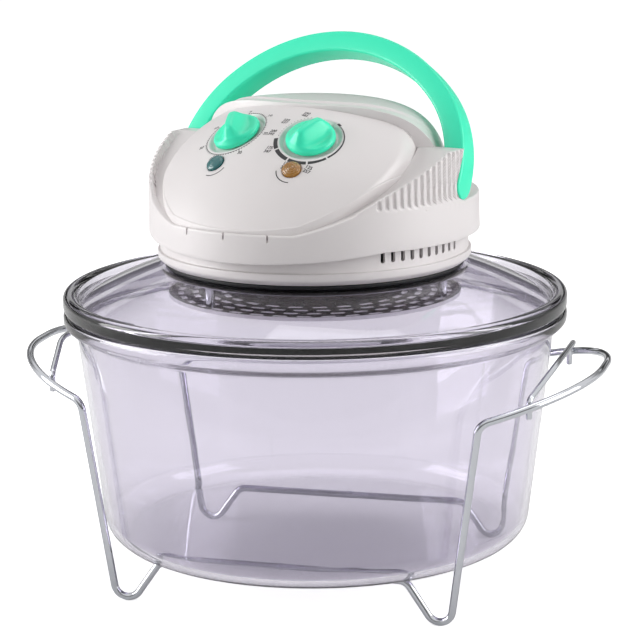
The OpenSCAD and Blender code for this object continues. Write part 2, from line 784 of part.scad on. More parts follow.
module knob() {
    difference() {
        union() {
            translate([0, 0, clear - dish_depth]) cylinder(h = skirt_h, r1 = knob_r, r2 = knob_r - 0.8);
            intersection() {
                translate([-knob_grip_w / 2, -knob_r, 0]) cube([knob_grip_w, 2 * knob_r, knob_grip_h]);
                translate([0, 0, clear - dish_depth]) cylinder(h = knob_grip_h + 6, r1 = knob_r, r2 = knob_r * 0.72);
            }
            translate([0, 0, clear - dish_depth]) cylinder(h = knob_bore + 1.4, r = knob_shaft_r + 3);
        }
        translate([0, 0, -dish_depth - 1]) cylinder(h = knob_bore + 1, r = knob_shaft_r + fit);
    }
}
module timer_knob() {
    color(mint) on_head() on_panel(-knob_x, knob_y) rotate([0, 0, 20]) knob();
}
module thermostat_knob() {
    color(mint) on_head() on_panel(knob_x, knob_y) rotate([0, 0, -60]) knob();
}

// Carry handle: an arch of three tangent curves that ends in round eyes
side_x = handle_half_w - handle_side_r;
top_r = (side_x * side_x + handle_reach * handle_reach - handle_side_r * handle_side_r)
    / (2 * (handle_reach - handle_side_r));
arch_angle = atan(side_x / (top_r - handle_reach));
module arch_band(r, a1, a2) {
    intersection() {
        difference() {
            circle(r);
            circle(r - handle_t);
        }
        polygon([[0, 0], 2 * r * [cos(a1), sin(a1)], 2 * r * [cos((a1 + a2) / 2), sin((a1 + a2) / 2)],
            2 * r * [cos(a2), sin(a2)]]);
    }
}
module handle_arch() {
    for (side = [0, 1]) mirror([side, 0, 0])
        translate([side_x, 0]) arch_band(handle_side_r, 0, 90 - arch_angle);
    translate([0, handle_reach - top_r]) arch_band(top_r, 90 - arch_angle, 90 + arch_angle);
}
cam_low_r = handle_depth / 2 - plunger_stroke - 0.1;
module on_pivot() {
    translate([0, pivot_y, pivot_h]) rotate([-handle_lean, 0, 0]) children();
}
// A groove in the right end is a cam: as the handle folds back it presses the plunger down
function cam_r(a) = cam_low_r - 0.1 + plunger_stroke * max(a, 0) / handle_fold;
module cam_groove() {
    angles = [-24:8:64];
    translate([plunger_x - plunger_r - 0.6, pivot_y, pivot_h]) rotate([90, 0, 90])
        linear_extrude(2 * plunger_r + 1.2) polygon(concat(
            [for (a = angles) cam_r(a) * [sin(a), -cos(a)]],
            [for (a = [64:-8:-24]) handle_depth * [sin(a), -cos(a)]]
        ));
}
module carry_handle() {
    color(mint) on_head() difference() {
        on_pivot() difference() {
            union() {
                rotate([90, 0, 0]) translate([0, 0, -handle_depth / 2])
                    linear_extrude(handle_depth) handle_arch();
                for (side = [0, 1]) mirror([side, 0, 0])
                    translate([handle_half_w - handle_t, 0, 0]) rotate([0, 90, 0])
                        cylinder(h = handle_t, r = handle_depth / 2);
            }
            for (side = [0, 1]) mirror([side, 0, 0])
                translate([handle_half_w - handle_t - 1, 0, 0]) rotate([0, 90, 0])
                    cylinder(h = pivot_bore + 1, r = pivot_r + fit);
        }
        cam_groove();
    }
}
module handle_pivot_pins() {
    color(bright_steel) on_head() for (side = [0, 1]) mirror([side, 0, 0])
        translate([pin_in, pivot_y, pivot_h]) rotate([0, 90, 0]) {
            cylinder(h = pin_boss_l + clear + pivot_bore - 1, r = pivot_r);
            translate([0, 0, -2]) cylinder(h = 2, r = pivot_r + 2.5);
        }
}

// Safety switch under the right end of the handle
switch_low = ring_h + shelf_h;
switch_h = 11;
plunger_low = switch_low + plunger_stroke + 1;
module handle_switch() {
    color("#3a3c40") on_head() difference() {
        translate([plunger_x - 9, pivot_y - 7, switch_low]) cube([11.5, 14, switch_h]);
        translate([plunger_x, pivot_y, plunger_low - plunger_stroke - clear])
            cylinder(h = switch_h, r = plunger_r + fit);
    }
}
module switch_plunger() {
    round_z = pivot_h - cam_low_r - plunger_r;
    color("#d8d4cc") on_head() translate([plunger_x, pivot_y, 0]) {
        translate([0, 0, plunger_low]) cylinder(h = round_z - plunger_low, r = plunger_r);
        translate([0, 0, round_z]) sphere(plunger_r);
    }
}

// Heater pan: flange under the glass and upright wall, spot-welded to the top plate above it
pan_flange_h = -seal_t - glass_t - pan_seal_t - sheet_t;
module heater_pan() {
    color(bright_steel) on_head() {
        ring(pan_flange_r, pan_r - sheet_t, pan_flange_h, sheet_t);
        ring(pan_r, pan_r - sheet_t, pan_flange_h, -pan_flange_h - sheet_t);
    }
}
module pan_top_plate() {
    color(bright_steel) on_head() difference() {
        translate([0, 0, -sheet_t]) cylinder(h = sheet_t, r = pan_r);
        translate([0, 0, -5]) cylinder(h = 10, r = shaft_r + 3);
        around(bolt_ring_r, bolt_angles) translate([0, 0, -5]) cylinder(h = 10, r = bolt_r + 0.1);
    }
}
module insulation_disc() {
    color("#cfc7b2") on_head() ring(floor_hole_r - clear, shaft_r + 5, 0, floor_t);
}

// Halogen tube: an open ring that ends in two ceramic sockets
tube_z = -sheet_t - tube_drop;
module halogen_tube() {
    color([0.95, 0.85, 0.75, 0.7]) on_head() translate([0, 0, tube_z])
        rotate([0, 0, 90 + tube_gap_angle / 2]) rotate_extrude(angle = 360 - tube_gap_angle)
            translate([tube_ring_r, 0]) circle(tube_r);
}
socket_w = 9;
module tube_sockets() {
    color("#eeeae0") on_head() for (side = [-1, 1])
        rotate([0, 0, 90 + side * tube_gap_angle / 2])
            translate([tube_ring_r - tube_r - 1.5, side > 0 ? -socket_w : 0, tube_z - tube_r - 1])
                cube([2 * tube_r + 3, socket_w, tube_drop + tube_r + 1]);
}
clip_w = 5;
module tube_clips() {
    color(bright_steel) on_head() around(tube_ring_r, [-90, 10, 170])
        translate([0, clip_w / 2, tube_z]) rotate([90, 0, 0]) difference() {
            union() {
                cylinder(h = clip_w, r = tube_r + sheet_t);
                translate([-sheet_t / 2, tube_r + 0.5, 0]) cube([sheet_t, tube_drop - tube_r - 0.5, clip_w]);
            }
            translate([0, 0, -1]) cylinder(h = clip_w + 2, r = tube_r + fit * 4);
        }
}

// Perforated guard on three posts
guard_top = rim_z + guard_h + sheet_t - head_z;
post_angles = [-108, 12, 132];
slot_pitch = slot_l + 5;
slot_rows = 4;
guard_thread_l = 6;
module slot_2d() {
    translate([-slot_w / 2, -(slot_l - slot_w) / 2]) square([slot_w, slot_l - slot_w]);
    for (y = [-1, 1]) translate([0, y * (slot_l - slot_w) / 2]) circle(slot_w / 2);
}
module guard_grille() {
    color(bright_steel) on_head() difference() {
        union() {
            translate([0, 0, guard_top - sheet_t]) linear_extrude(sheet_t) difference() {
                circle(guard_r);
                for (row = [0:slot_rows - 1])
                    let (r = guard_r - 8 - row * slot_row, n = floor(2 * PI * r / slot_pitch / 3) * 3)
                    for (i = [0:n - 1]) rotate([0, 0, post_angles[0] + (i + 0.5) * 360 / n])
                        translate([r, 0]) slot_2d();
                circle(shaft_r + 4);
            }
            ring(guard_r, guard_r - sheet_t, guard_top - sheet_t, 2 * sheet_t);
        }
        around(post_ring_r, post_angles)
            translate([0, 0, guard_top - 5]) cylinder(h = 10, r = screw_r + 0.1);
    }
}
module guard_posts() {
    color(chrome) on_head() around(post_ring_r, post_angles) difference() {
        translate([0, 0, guard_top]) cylinder(h = pan_flange_h - guard_top, r = post_r);
        translate([0, 0, guard_top - 1]) cylinder(h = guard_thread_l + 2, r = screw_r + fit);
    }
}
module guard_screws() {
    color(bright_steel) on_head() around(post_ring_r, post_angles) {
        translate([0, 0, guard_top - sheet_t]) cylinder(h = sheet_t + guard_thread_l, r = screw_r);
        translate([0, 0, guard_top - sheet_t - 1.6]) cylinder(h = 1.6, r = 2 * screw_r);
    }
}

// Motor: plate, posts, two brackets with bushes, stator and rotor
plate_top = floor_t + sheet_t;
motor_z = plate_top + motor_post_h;
motor_post_r = 3.5;
motor_bolt_r = motor_r + motor_post_r + 1.5;
motor_bolts = [90, 210, 330];
upper_z = motor_z + sheet_t + stator_h;
bush_r = shaft_r + 2.5;
module motor_plate() {
    color(bright_steel) on_head() difference() {
        ring(ring_neck_r - wall - 2 * boss_r - 1, shaft_r + 5, floor_t, sheet_t);
        around(bolt_ring_r, bolt_angles) translate([0, 0, floor_t - 1]) cylinder(h = 5, r = bolt_r + 0.1);
    }
}
module motor_posts() {
    color(bright_steel) on_head() around(motor_bolt_r, motor_bolts)
        translate([0, 0, plate_top]) cylinder(h = motor_post_h, r = motor_post_r);
}
module bracket(z) {
    difference() {
        translate([0, 0, z]) cylinder(h = sheet_t, r = motor_bolt_r + motor_post_r + 1);
        translate([0, 0, z - 1]) cylinder(h = sheet_t + 2, r = bush_r + fit);
    }
}
module motor_lower_bracket() {
    color(bright_steel) on_head() bracket(motor_z);
}
module motor_stator() {
    color("#6d6258") on_head() ring(motor_r, rotor_r + air_gap, motor_z + sheet_t, stator_h);
}
module motor_upper_bracket() {
    color(bright_steel) on_head() ring(motor_r, bush_r + fit, upper_z, sheet_t);
}
module bush(z, up) {
    translate([0, 0, z]) difference() {
        union() {
            translate([0, 0, up ? 0 : -sheet_t]) cylinder(h = 2 * sheet_t, r = bush_r);
            translate([0, 0, up ? sheet_t : -sheet_t]) cylinder(h = sheet_t, r = bush_r + 1.5);
        }
        translate([0, 0, -5]) cylinder(h = 10, r = shaft_r + fit);
    }
}
module shaft_bushes() {
    color(brass_colour) on_head() {
        bush(motor_z, false);
        bush(upper_z, true);
    }
}
module motor_rotor() {
    color("#8d8f94") on_head() ring(rotor_r, shaft_r + fit, motor_z + sheet_t + 1, stator_h - 2);
}
fan_z = -sheet_t - 9.5;
nut_h = 3;
hub_r = 7;
hot_hub_h = 6;
cool_z = upper_z + 2 * sheet_t + clear;
cool_h = 5;
blade_t = 1;
blade_tilt = 32;
module fan_shaft() {
    color(bright_steel) on_head() translate([0, 0, fan_z - nut_h - 1])
        cylinder(h = cool_z + cool_h + 1 - (fan_z - nut_h - 1), r = shaft_r);
}
module fan(r, z, h, blades) {
    difference() {
        union() {
            translate([0, 0, z]) cylinder(h = h, r = hub_r);
            intersection() {
                ring(r, hub_r - 1, z - 5, h + 10);
                for (i = [0:blades - 1]) rotate([0, 0, i * 360 / blades])
                    translate([0, 0, z + h / 2]) rotate([blade_tilt, 0, 0])
                        translate([0, -blade_h / 2, -blade_t / 2]) cube([r + 5, blade_h, blade_t]);
            }
        }
        translate([0, 0, z - 5]) cylinder(h = h + 10, r = shaft_r + fit);
    }
}
module hot_air_fan() {
    color(bright_steel) on_head() fan(hot_fan_r, fan_z, hot_hub_h, 8);
}
module cooling_fan() {
    color("#2f3338") on_head() fan(cool_fan_r, cool_z, cool_h, 6);
}
module fan_nut() {
    color(brass_colour) on_head() translate([0, 0, fan_z - nut_h]) difference() {
        cylinder(h = nut_h, r = shaft_r + 2.5, $fn = 6);
        translate([0, 0, -1]) cylinder(h = nut_h + 2, r = shaft_r + fit);
    }
}

// Thermal cut-out, fasteners and the socket for the mains lead
module thermal_cutout() {
    cutout_r = 8;
    ear_w = 6;
    ear_l = 22;
    cutout_ring_r = 60;
    color("#2f3338") on_head() rotate([0, 0, 150]) translate([cutout_ring_r, 0, plate_top]) {
        cylinder(h = 6, r = cutout_r);
        translate([-ear_w / 2, -ear_l / 2, 0]) cube([ear_w, ear_l, 2]);
    }
}
module pan_bolts() {
    color(bright_steel) on_head() around(bolt_ring_r, bolt_angles) {
        translate([0, 0, -sheet_t]) cylinder(h = plate_top + sheet_t + 2 * bolt_r, r = bolt_r);
        translate([0, 0, -sheet_t - screw_head_h]) cylinder(h = screw_head_h, r = 2 * bolt_r);
        translate([0, 0, plate_top]) difference() {
            cylinder(h = 1.3 * bolt_r, r = 2 * bolt_r, $fn = 6);
            translate([0, 0, -1]) cylinder(h = 2 * bolt_r + 1, r = bolt_r - 0.01);
        }
    }
}
module casing_screws() {
    color(bright_steel) on_head() around(boss_ring_r, boss_angles) {
        translate([0, 0, ring_h - screw_thread_l]) cylinder(h = screw_thread_l + shelf_h, r = screw_r);
        translate([0, 0, ring_h + shelf_h]) cylinder(h = screw_head_h, r = 2 * screw_r);
    }
}
module power_inlet() {
    color(black_rubber) on_head() translate([0, band_r - inlet_depth, inlet_low]) difference() {
        translate([-inlet_w / 2, 0, 0]) cube([inlet_w, inlet_depth, inlet_h]);
        translate([-inlet_w / 2 + 2, 3, 2]) cube([inlet_w - 4, inlet_depth, inlet_h - 4]);
    }
}

left_stand_wire();
right_stand_wire();
left_bail_wire();
right_bail_wire();
glass_bowl();
glass_lid();
head_gasket();
pan_gasket();
base_ring();
upper_casing();
rear_cover();
control_panel();
power_lens();
heat_lens();
neon_lamps();
timer_body();
timer_shaft();
timer_knob();
thermostat_body();
thermostat_shaft();
thermostat_knob();
carry_handle();
handle_pivot_pins();
handle_switch();
switch_plunger();
heater_pan();
pan_top_plate();
insulation_disc();
halogen_tube();
tube_sockets();
tube_clips();
guard_grille();
guard_posts();
guard_screws();
motor_plate();
motor_posts();
motor_lower_bracket();
motor_stator();
motor_upper_bracket();
shaft_bushes();
motor_rotor();
fan_shaft();
hot_air_fan();
cooling_fan();
fan_nut();
thermal_cutout();
pan_bolts();
casing_screws();
power_inlet();
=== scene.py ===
"""Halogen oven: a glass bowl and lid on a chromed wire stand, with a heater head and a carry handle."""

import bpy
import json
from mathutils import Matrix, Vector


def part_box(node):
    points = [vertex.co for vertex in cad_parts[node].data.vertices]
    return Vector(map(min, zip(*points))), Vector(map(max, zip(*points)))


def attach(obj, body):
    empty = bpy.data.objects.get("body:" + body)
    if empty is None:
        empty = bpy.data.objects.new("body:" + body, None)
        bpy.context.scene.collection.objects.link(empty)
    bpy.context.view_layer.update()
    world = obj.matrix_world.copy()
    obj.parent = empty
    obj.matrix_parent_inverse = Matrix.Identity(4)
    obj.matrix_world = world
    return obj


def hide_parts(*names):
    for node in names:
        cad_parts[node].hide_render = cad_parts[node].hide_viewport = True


bl_info = {
    "name": "Halogen oven",
    "version": (1, 0, 0),
    "blender": (4, 5, 0),
    "location": "View3D > Sidebar > Halogen oven",
    "description": "Dresses a glass bowl oven with smooth surfaces and finishes",
    "category": "Add Mesh",
}

import json
import math

import bmesh
import bpy
import numpy as np
from mathutils import Matrix, Vector

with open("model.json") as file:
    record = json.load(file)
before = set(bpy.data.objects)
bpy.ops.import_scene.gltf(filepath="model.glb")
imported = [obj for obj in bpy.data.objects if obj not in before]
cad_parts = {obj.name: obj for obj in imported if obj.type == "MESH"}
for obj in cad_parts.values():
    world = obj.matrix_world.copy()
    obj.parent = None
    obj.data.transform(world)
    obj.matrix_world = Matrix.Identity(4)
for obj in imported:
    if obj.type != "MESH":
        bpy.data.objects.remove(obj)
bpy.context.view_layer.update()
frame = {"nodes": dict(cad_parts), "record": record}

MM = 0.001
EVEN = (1.0, 1.0, 1.0)
BOWL_LOW, BOWL_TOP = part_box("glass_bowl")

# Heights of the whole oven
STAND_H = BOWL_LOW[2]
RIM_Z = BOWL_TOP[2]
HEAD_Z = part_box("base_ring")[0][2]

# Bowl and lid, in metres: the bowl's wall runs from the base corner up to the flange
BASE_R = 143 * MM
CORNER_Z = STAND_H + 18 * MM
FLANGE_Z = RIM_Z - 10.5 * MM
SHOULDER_INSET = 8 * MM
LAND_R = 99.5 * MM

# Head outlines seen from above, in millimetres from the head's axis
BAND_R = 109.4
BAND_TOP_R = 107.6
SHOULDER_H = 77.7
LEDGE_H = 45.0
LIP_H = 33.0
DECK_H = 79.0
DECK_SLOPE = math.radians(25.5)
BAND_LOW_H = 14.0
BAND_SIDE_H = 20.5
EDGE_RISE = 47.0
WALL = 2.6
PANEL_SHIFT = 25.0
PANEL_R = 85.0
DOME_SHIFT = 9.0
DOME_R = 94.0
DOME_FOOT = 32.5
DOME_H = 105.0
SEAM_R = 148.0
SEAM_Y = 126.0
SEAM_GAP = 0.4
CROWN_R = 160.0
CROWN_Y = 31.010
CROWN_Z = -48.463
PIVOT_Y = 6.3
PIVOT_H = 54.4
HANDLE_LEAN = math.radians(28.5)
HANDLE_FRONT = 9.4
KNOB_SPOTS = ((-28.0, -49.0), (28.0, -49.0))
LAMP_SPOTS = ((-28.5, -73.0), (28.5, -73.0))
DISH_R = 17.5
DISH_FLARE = 3.0
DISH_DEPTH = 3.0
INLET_HALF_W = 13.55
INLET_LOW = 27.25
INLET_HIGH = 41.35


def length_setting(name, description, default):
    """A length setting in metres."""
    return bpy.props.FloatProperty(name=name, description=description, default=default, unit="LENGTH")


def colour_setting(name, description, default):
    """A colour setting, as an sRGB hex value."""
    return bpy.props.StringProperty(name=name, description=description, default=default)


class OvenSizes(bpy.types.PropertyGroup):
    """Sizes that shape the oven's surfaces."""

    rim_radius: length_setting("Rim radius", "Outer radius of the flange of bowl and lid", BOWL_TOP[0])
    glass_thickness: length_setting("Glass thickness", "Thickness of the pressed glass", 4.5 * MM)
    wire_diameter: length_setting("Wire diameter", "Diameter of the chromed stand wire", 5 * MM)
    bail_diameter: length_setting("Bail diameter", "Diameter of the bail wires across the loops", 4 * MM)
    handle_thickness: length_setting("Handle thickness", "Radial thickness of the carry handle", 14 * MM)
    handle_depth: length_setting("Handle depth", "Depth of the carry handle from front to rear", 18 * MM)
    handle_edge: length_setting("Handle edge", "Radius of the carry handle's rounded edges", 1.8 * MM)
    knob_radius: length_setting("Knob radius", "Radius of each knob's skirt", 16 * MM)
    rib_depth: length_setting("Rib depth", "Depth of the grooves between the grip ribs", 1.6 * MM)
    head_turn: bpy.props.FloatProperty(
        name="Head turn",
        description="How far the head is turned on the bowl, seen from above",
        default=math.radians(16.1),
        subtype="ANGLE",
    )


class OvenColours(bpy.types.PropertyGroup):
    """Colours of the oven's finishes."""

    casing: colour_setting("Casing", "Warm white moulded plastic", "#E4DFDF")
    mint: colour_setting("Mint", "Green moulded plastic of the handle and knobs", "#38F3C2")
    glass: colour_setting("Glass", "Tint of the pressed glass", "#E6E3EB")
    chrome: colour_setting("Chrome", "Bright plating of the stand wires", "#C9CBD0")
    steel: colour_setting("Steel", "Pressed steel of the heater pan", "#8E8C92")
    rubber: colour_setting("Rubber", "Black silicone rubber of the gaskets", "#17171A")
    ink: colour_setting("Ink", "Printing ink of the dial marks", "#1B1A1E")
    teal_lens: colour_setting("Left lens", "Clear teal plastic of the left lamp lens", "#08696B")
    amber_lens: colour_setting("Right lens", "Clear amber plastic of the right lamp lens", "#A87424")
    floor: colour_setting("Floor", "Pale floor under the oven", "#F4F4F4")


def linear_colour(hex_value, alpha=1.0):
    """Linear RGBA of an sRGB hex value: each channel c is c / 12.92 below 0.04045, and else
    ((c + 0.055) / 1.055) to the power 2.4."""
    srgb = np.array([int(hex_value[i:i + 2], 16) / 255 for i in (1, 3, 5)])
    linear = np.where(srgb < 0.04045, srgb / 12.92, ((srgb + 0.055) / 1.055) ** 2.4)
    return (*linear, alpha)


def add_node(tree, kind, settings=None, links=None):
    """Adds a node, sets its properties and inputs by name, and links inputs from sockets or from
    the first output of other nodes."""
    made = tree.nodes.new(kind)
    for key, value in (settings or {}).items():
        if isinstance(key, int) or key in made.inputs:
            made.inputs[key].default_value = value
        else:
            setattr(made, key, value)
    for key, source in (links or {}).items():
        socket = source.outputs[0] if isinstance(source, bpy.types.Node) else source
        tree.links.new(socket, made.inputs[key])
    return made


def new_surface(name, settings):
    """A material with one Principled surface, and the coordinates for its patterns."""
    material = bpy.data.materials.new(name)
    material.use_nodes = True
    tree = material.node_tree
    tree.nodes.clear()
    surface = add_node(tree, "ShaderNodeBsdfPrincipled", settings)
    add_node(tree, "ShaderNodeOutputMaterial", links={"Surface": surface})
    return material, tree, surface, add_node(tree, "ShaderNodeTexCoord")


def noise_range(tree, place, low, high, grain, detail):
    """Noise of a grain size in metres, spread between a low and a high value."""
    noise = add_node(tree, "ShaderNodeTexNoise", {"Scale": 1 / grain, "Detail": detail}, {"Vector": place})
    return add_node(tree, "ShaderNodeMapRange", {3: low, 4: high}, {0: noise})


def tint_noise(tree, place, colour, spread, grain):
    """Base colour that drifts by plus or minus spread over patches of the grain size in metres."""
    shade = noise_range(tree, place, 1 - spread, 1 + spread, grain, 3.0)
    return add_node(tree, "ShaderNodeHueSaturation", {"Color": colour}, {"Value": shade})


def new_finish(name, settings, drift=None, rough=None, relief=None):
    """A finish whose base colour drifts by (spread, grain), whose roughness varies by (low, high,
    grain), and whose relief has (grain, depth, stretch per axis), all in metres on the object."""
    material, tree, surface, texture = new_surface(name, settings)
    place = texture.outputs["Object"]
    patterns = {}
    if drift:
        patterns["Base Color"] = tint_noise(tree, place, settings["Base Color"], *drift)
    if rough:
        patterns["Roughness"] = noise_range(tree, place, *rough, 5.0)
    if relief:
        grain, depth, stretch = relief
        turned = add_node(tree, "ShaderNodeMapping", {"Scale": stretch}, {"Vector": place})
        noise = add_node(tree, "ShaderNodeTexNoise", {"Scale": 1 / grain, "Detail": 4.0}, {"Vector": turned})
        bump = {"Strength": 1.0, "Distance": depth}
        patterns["Normal"] = add_node(tree, "ShaderNodeBump", bump, {"Height": noise})
    for key, node in patterns.items():
        tree.links.new(node.outputs[0], surface.inputs[key])
    return material


def moulded_abs(name, hex_value, low, high):
    """Injection moulded ABS: an even colour with a slight drift, and the fine grain that the mould's
    spark-eroded face leaves, which breaks up the highlights."""
    settings = {"IOR": 1.53, "Base Color": linear_colour(hex_value)}
    return new_finish(name, settings, (0.025, 45 * MM), (low, high, 12 * MM), (0.5 * MM, 0.004 * MM, EVEN))


def pressed_glass(hex_value):
    """Pressed soda-lime glass: clear with a faint purple grey cast, and the slow waves that the
    plunger leaves in the surface, which bend the highlights."""
    settings = {
        "Base Color": linear_colour(hex_value),
        "Transmission Weight": 1.0,
        "IOR": 1.51,
        "Roughness": 0.0,
    }
    return new_finish("pressed_soda_lime_glass", settings, relief=(30 * MM, 0.03 * MM, (1.0, 1.0, 0.4)))


def chrome_plate(hex_value):
    """Bright chromium plate on drawn steel wire: a sharp mirror with a few dull wipe marks."""
    settings = {"Base Color": linear_colour(hex_value), "Metallic": 1.0}
    return new_finish("chromed_steel_wire", settings, None, (0.03, 0.1, 9 * MM), (4 * MM, 0.01 * MM, EVEN))


def rolled_steel(name, hex_value, low, high, stretch):
    """Cold rolled or pressed metal: fine lines along the rolling direction, drawn at 2 mm across
    so that they show."""
    settings = {"Base Color": linear_colour(hex_value), "Metallic": 1.0}
    return new_finish(name, settings, (0.06, 14 * MM), (low, high, 5 * MM), (2 * MM, 0.02 * MM, stretch))


def silicone_rubber(hex_value):
    """Silicone rubber: nearly black, dull, with a dusty speckle."""
    settings = {"Base Color": linear_colour(hex_value), "IOR": 1.41}
    relief = (0.8 * MM, 0.02 * MM, EVEN)
    return new_finish("black_silicone_rubber", settings, (0.2, 3 * MM), (0.5, 0.7, 2 * MM), relief)


def clear_acrylic(name, hex_value):
    """Tinted acrylic lens: deep clear colour under a hard gloss, a little clouded inside."""
    settings = {
        "Base Color": linear_colour(hex_value),
        "Transmission Weight": 0.15,
        "IOR": 1.49,
        "Coat Weight": 0.6,
        "Coat Roughness": 0.03,
    }
    return new_finish(name, settings, rough=(0.05, 0.16, 3 * MM))


def printing_ink(hex_value):
    """Pad printed ink: near black and semi-matt, a little uneven in density."""
    settings = {"Base Color": linear_colour(hex_value), "Roughness": 0.5}
    return new_finish("pad_printed_ink", settings, (0.15, 1.5 * MM))


def quartz_glass():
    """Drawn quartz tube: clear with a warm cast from the filament behind it."""
    settings = {"Base Color": linear_colour("#F4E6D6"), "Transmission Weight": 0.85, "IOR": 1.46}
    return new_finish("drawn_quartz_tube", settings, rough=(0.05, 0.2, 8 * MM))


def fired_ceramic(name, hex_value, grain):
    """Fired steatite or pressed fibre board: chalky, with a coarse speckle."""
    settings = {"Base Color": linear_colour(hex_value), "Roughness": 0.8}
    return new_finish(name, settings, (0.12, grain), relief=(grain, 0.06 * MM, EVEN))


def punched_steel():
    """Dark enamelled sheet with punched slots: the flat faces are nearly black and glossy, and the
    cut edges, whose normals lie level, are painted near white, a painted light that stands for
    the bright room seen through the slots."""
    material, tree, surface, texture = new_surface("enamelled_sheet_painted_slot_light", {"IOR": 1.5})
    place = texture.outputs["Object"]
    parts = add_node(tree, "ShaderNodeSeparateXYZ", links={"Vector": texture.outputs["Normal"]})
    steep = add_node(tree, "ShaderNodeMath", {"operation": "ABSOLUTE"}, {0: parts.outputs[2]})
    face = add_node(tree, "ShaderNodeMapRange", {1: 0.3, 2: 0.7}, {0: steep})
    dark = tint_noise(tree, place, linear_colour("#2E2D33"), 0.1, 9 * MM)
    # Painted light: where the normal lies level, on the slot walls, the colour goes to near white, standing
    # for the bright room seen through the slots.
    settings = {"data_type": "RGBA", 6: linear_colour("#F7F5F8")}
    edge = add_node(tree, "ShaderNodeMix", settings, {0: face, 7: dark})
    tree.links.new(edge.outputs[2], surface.inputs["Base Color"])
    rough = noise_range(tree, place, 0.2, 0.35, 6 * MM, 5.0)
    tree.links.new(rough.outputs[0], surface.inputs["Roughness"])
    return material


FINISHES = {}


def all_finishes():
    """Every finish once, by the record's material slot."""
    colours = bpy.context.scene.oven_colours
    if not FINISHES:
        FINISHES.update({
            "stand_chrome": chrome_plate(colours.chrome),
            "clear_glass": pressed_glass(colours.glass),
            "black_rubber": silicone_rubber(colours.rubber),
            "white_plastic": moulded_abs("warm_white_abs", colours.casing, 0.3, 0.4),
            "mint_plastic": moulded_abs("mint_abs", colours.mint, 0.28, 0.36),
            "black_plastic": moulded_abs("black_abs", "#26262A", 0.45, 0.6),
            "pale_plastic": moulded_abs("natural_nylon", "#D8D4CC", 0.4, 0.55),
            "teal_lens": clear_acrylic("teal_acrylic", colours.teal_lens),
            "amber_lens": clear_acrylic("amber_acrylic", colours.amber_lens),
            "lamp_glass": clear_acrylic("neon_lamp_glass", "#E8A070"),
            "zinc_steel": rolled_steel("zinc_plated_steel", "#A9ABB0", 0.28, 0.42, (1.0, 1.0, 6.0)),
            "heater_steel": rolled_steel("bright_rolled_steel", colours.steel, 0.22, 0.36, (1.0, 7.0, 1.0)),
            "stator_steel": rolled_steel("varnished_laminations", "#6D6258", 0.4, 0.55, (1.0, 1.0, 12.0)),
            "brass": rolled_steel("turned_brass", "#C2A14D", 0.2, 0.32, (1.0, 1.0, 9.0)),
            "aluminium": rolled_steel("pressed_aluminium", "#C4C6CA", 0.3, 0.42, (5.0, 1.0, 1.0)),
            "quartz_glass": quartz_glass(),
            "ceramic": fired_ceramic("fired_steatite", "#EEEAE0", 2 * MM),
            "ceramic_board": fired_ceramic("pressed_fibre_board", "#CFC7B2", 1.2 * MM),
            "guard_steel": punched_steel(),
            "ink": printing_ink(colours.ink),
        })
    return FINISHES


def unit(vectors):
    """Vectors scaled to a length of 1."""
    return vectors / np.linalg.norm(vectors, axis=-1, keepdims=True)


def full_turn(steps):
    """Even angles once round, in radians."""
    return np.linspace(0, 2 * math.pi, steps, endpoint=False)


def grid_faces(rows, columns, wrap_rows=False, wrap_columns=False):
    """Four-sided faces between neighbouring rows and columns of a grid that is numbered row by row."""
    i, j = np.meshgrid(
        np.arange(rows if wrap_rows else rows - 1),
        np.arange(columns if wrap_columns else columns - 1),
        indexing="ij",
    )
    next_i = (i + 1) % rows
    next_j = (j + 1) % columns
    corners = [i * columns + j, next_i * columns + j, next_i * columns + next_j, i * columns + next_j]
    return np.stack(corners, -1).reshape(-1, 4)


def join_grids(grids):
    """Joins (points, faces) pairs into one pair: face numbers move up by the points before them."""
    offsets = np.cumsum([0] + [len(points.reshape(-1, 3)) for points, faces in grids[:-1]])
    points = np.concatenate([points.reshape(-1, 3) for points, faces in grids])
    faces = np.concatenate([grid[1] + start for grid, start in zip(grids, offsets)])
    return points, faces


def new_piece(name, surface, slot, body, nodes=(), outward=None, crease=35):
    """A mesh object at the origin from points in metres and faces. Doubled points are merged, faces
    turned outwards, or towards a direction on an open surface, and edges under crease are smooth."""
    points, faces = surface
    mesh = bpy.data.meshes.new(name)
    mesh.from_pydata(np.asarray(points).reshape(-1, 3).tolist(), [], np.asarray(faces).tolist())
    shell = bmesh.new()
    shell.from_mesh(mesh)
    bmesh.ops.remove_doubles(shell, verts=shell.verts, dist=0.002 * MM)
    bmesh.ops.dissolve_degenerate(shell, edges=shell.edges, dist=0.001 * MM)
    bmesh.ops.recalc_face_normals(shell, faces=shell.faces)
    if outward is not None:
        lean = sum((face.normal * face.calc_area() for face in shell.faces), Vector()).dot(Vector(outward))
        if lean < 0:
            bmesh.ops.reverse_faces(shell, faces=shell.faces)
    shell.to_mesh(mesh)
    shell.free()
    mesh.shade_smooth()
    mesh.set_sharp_from_angle(angle=math.radians(crease))
    mesh.materials.append(all_finishes()[slot])
    piece = bpy.data.objects.new(name, mesh)
    bpy.context.scene.collection.objects.link(piece)
    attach(piece, body)
    if nodes:
        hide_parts(*nodes)
    return piece


def apply_modifiers(piece):
    """Keeps a piece's modifiers as plain geometry."""
    graph = bpy.context.evaluated_depsgraph_get()
    finished = bpy.data.meshes.new_from_object(piece.evaluated_get(graph))
    piece.modifiers.clear()
    piece.data = finished


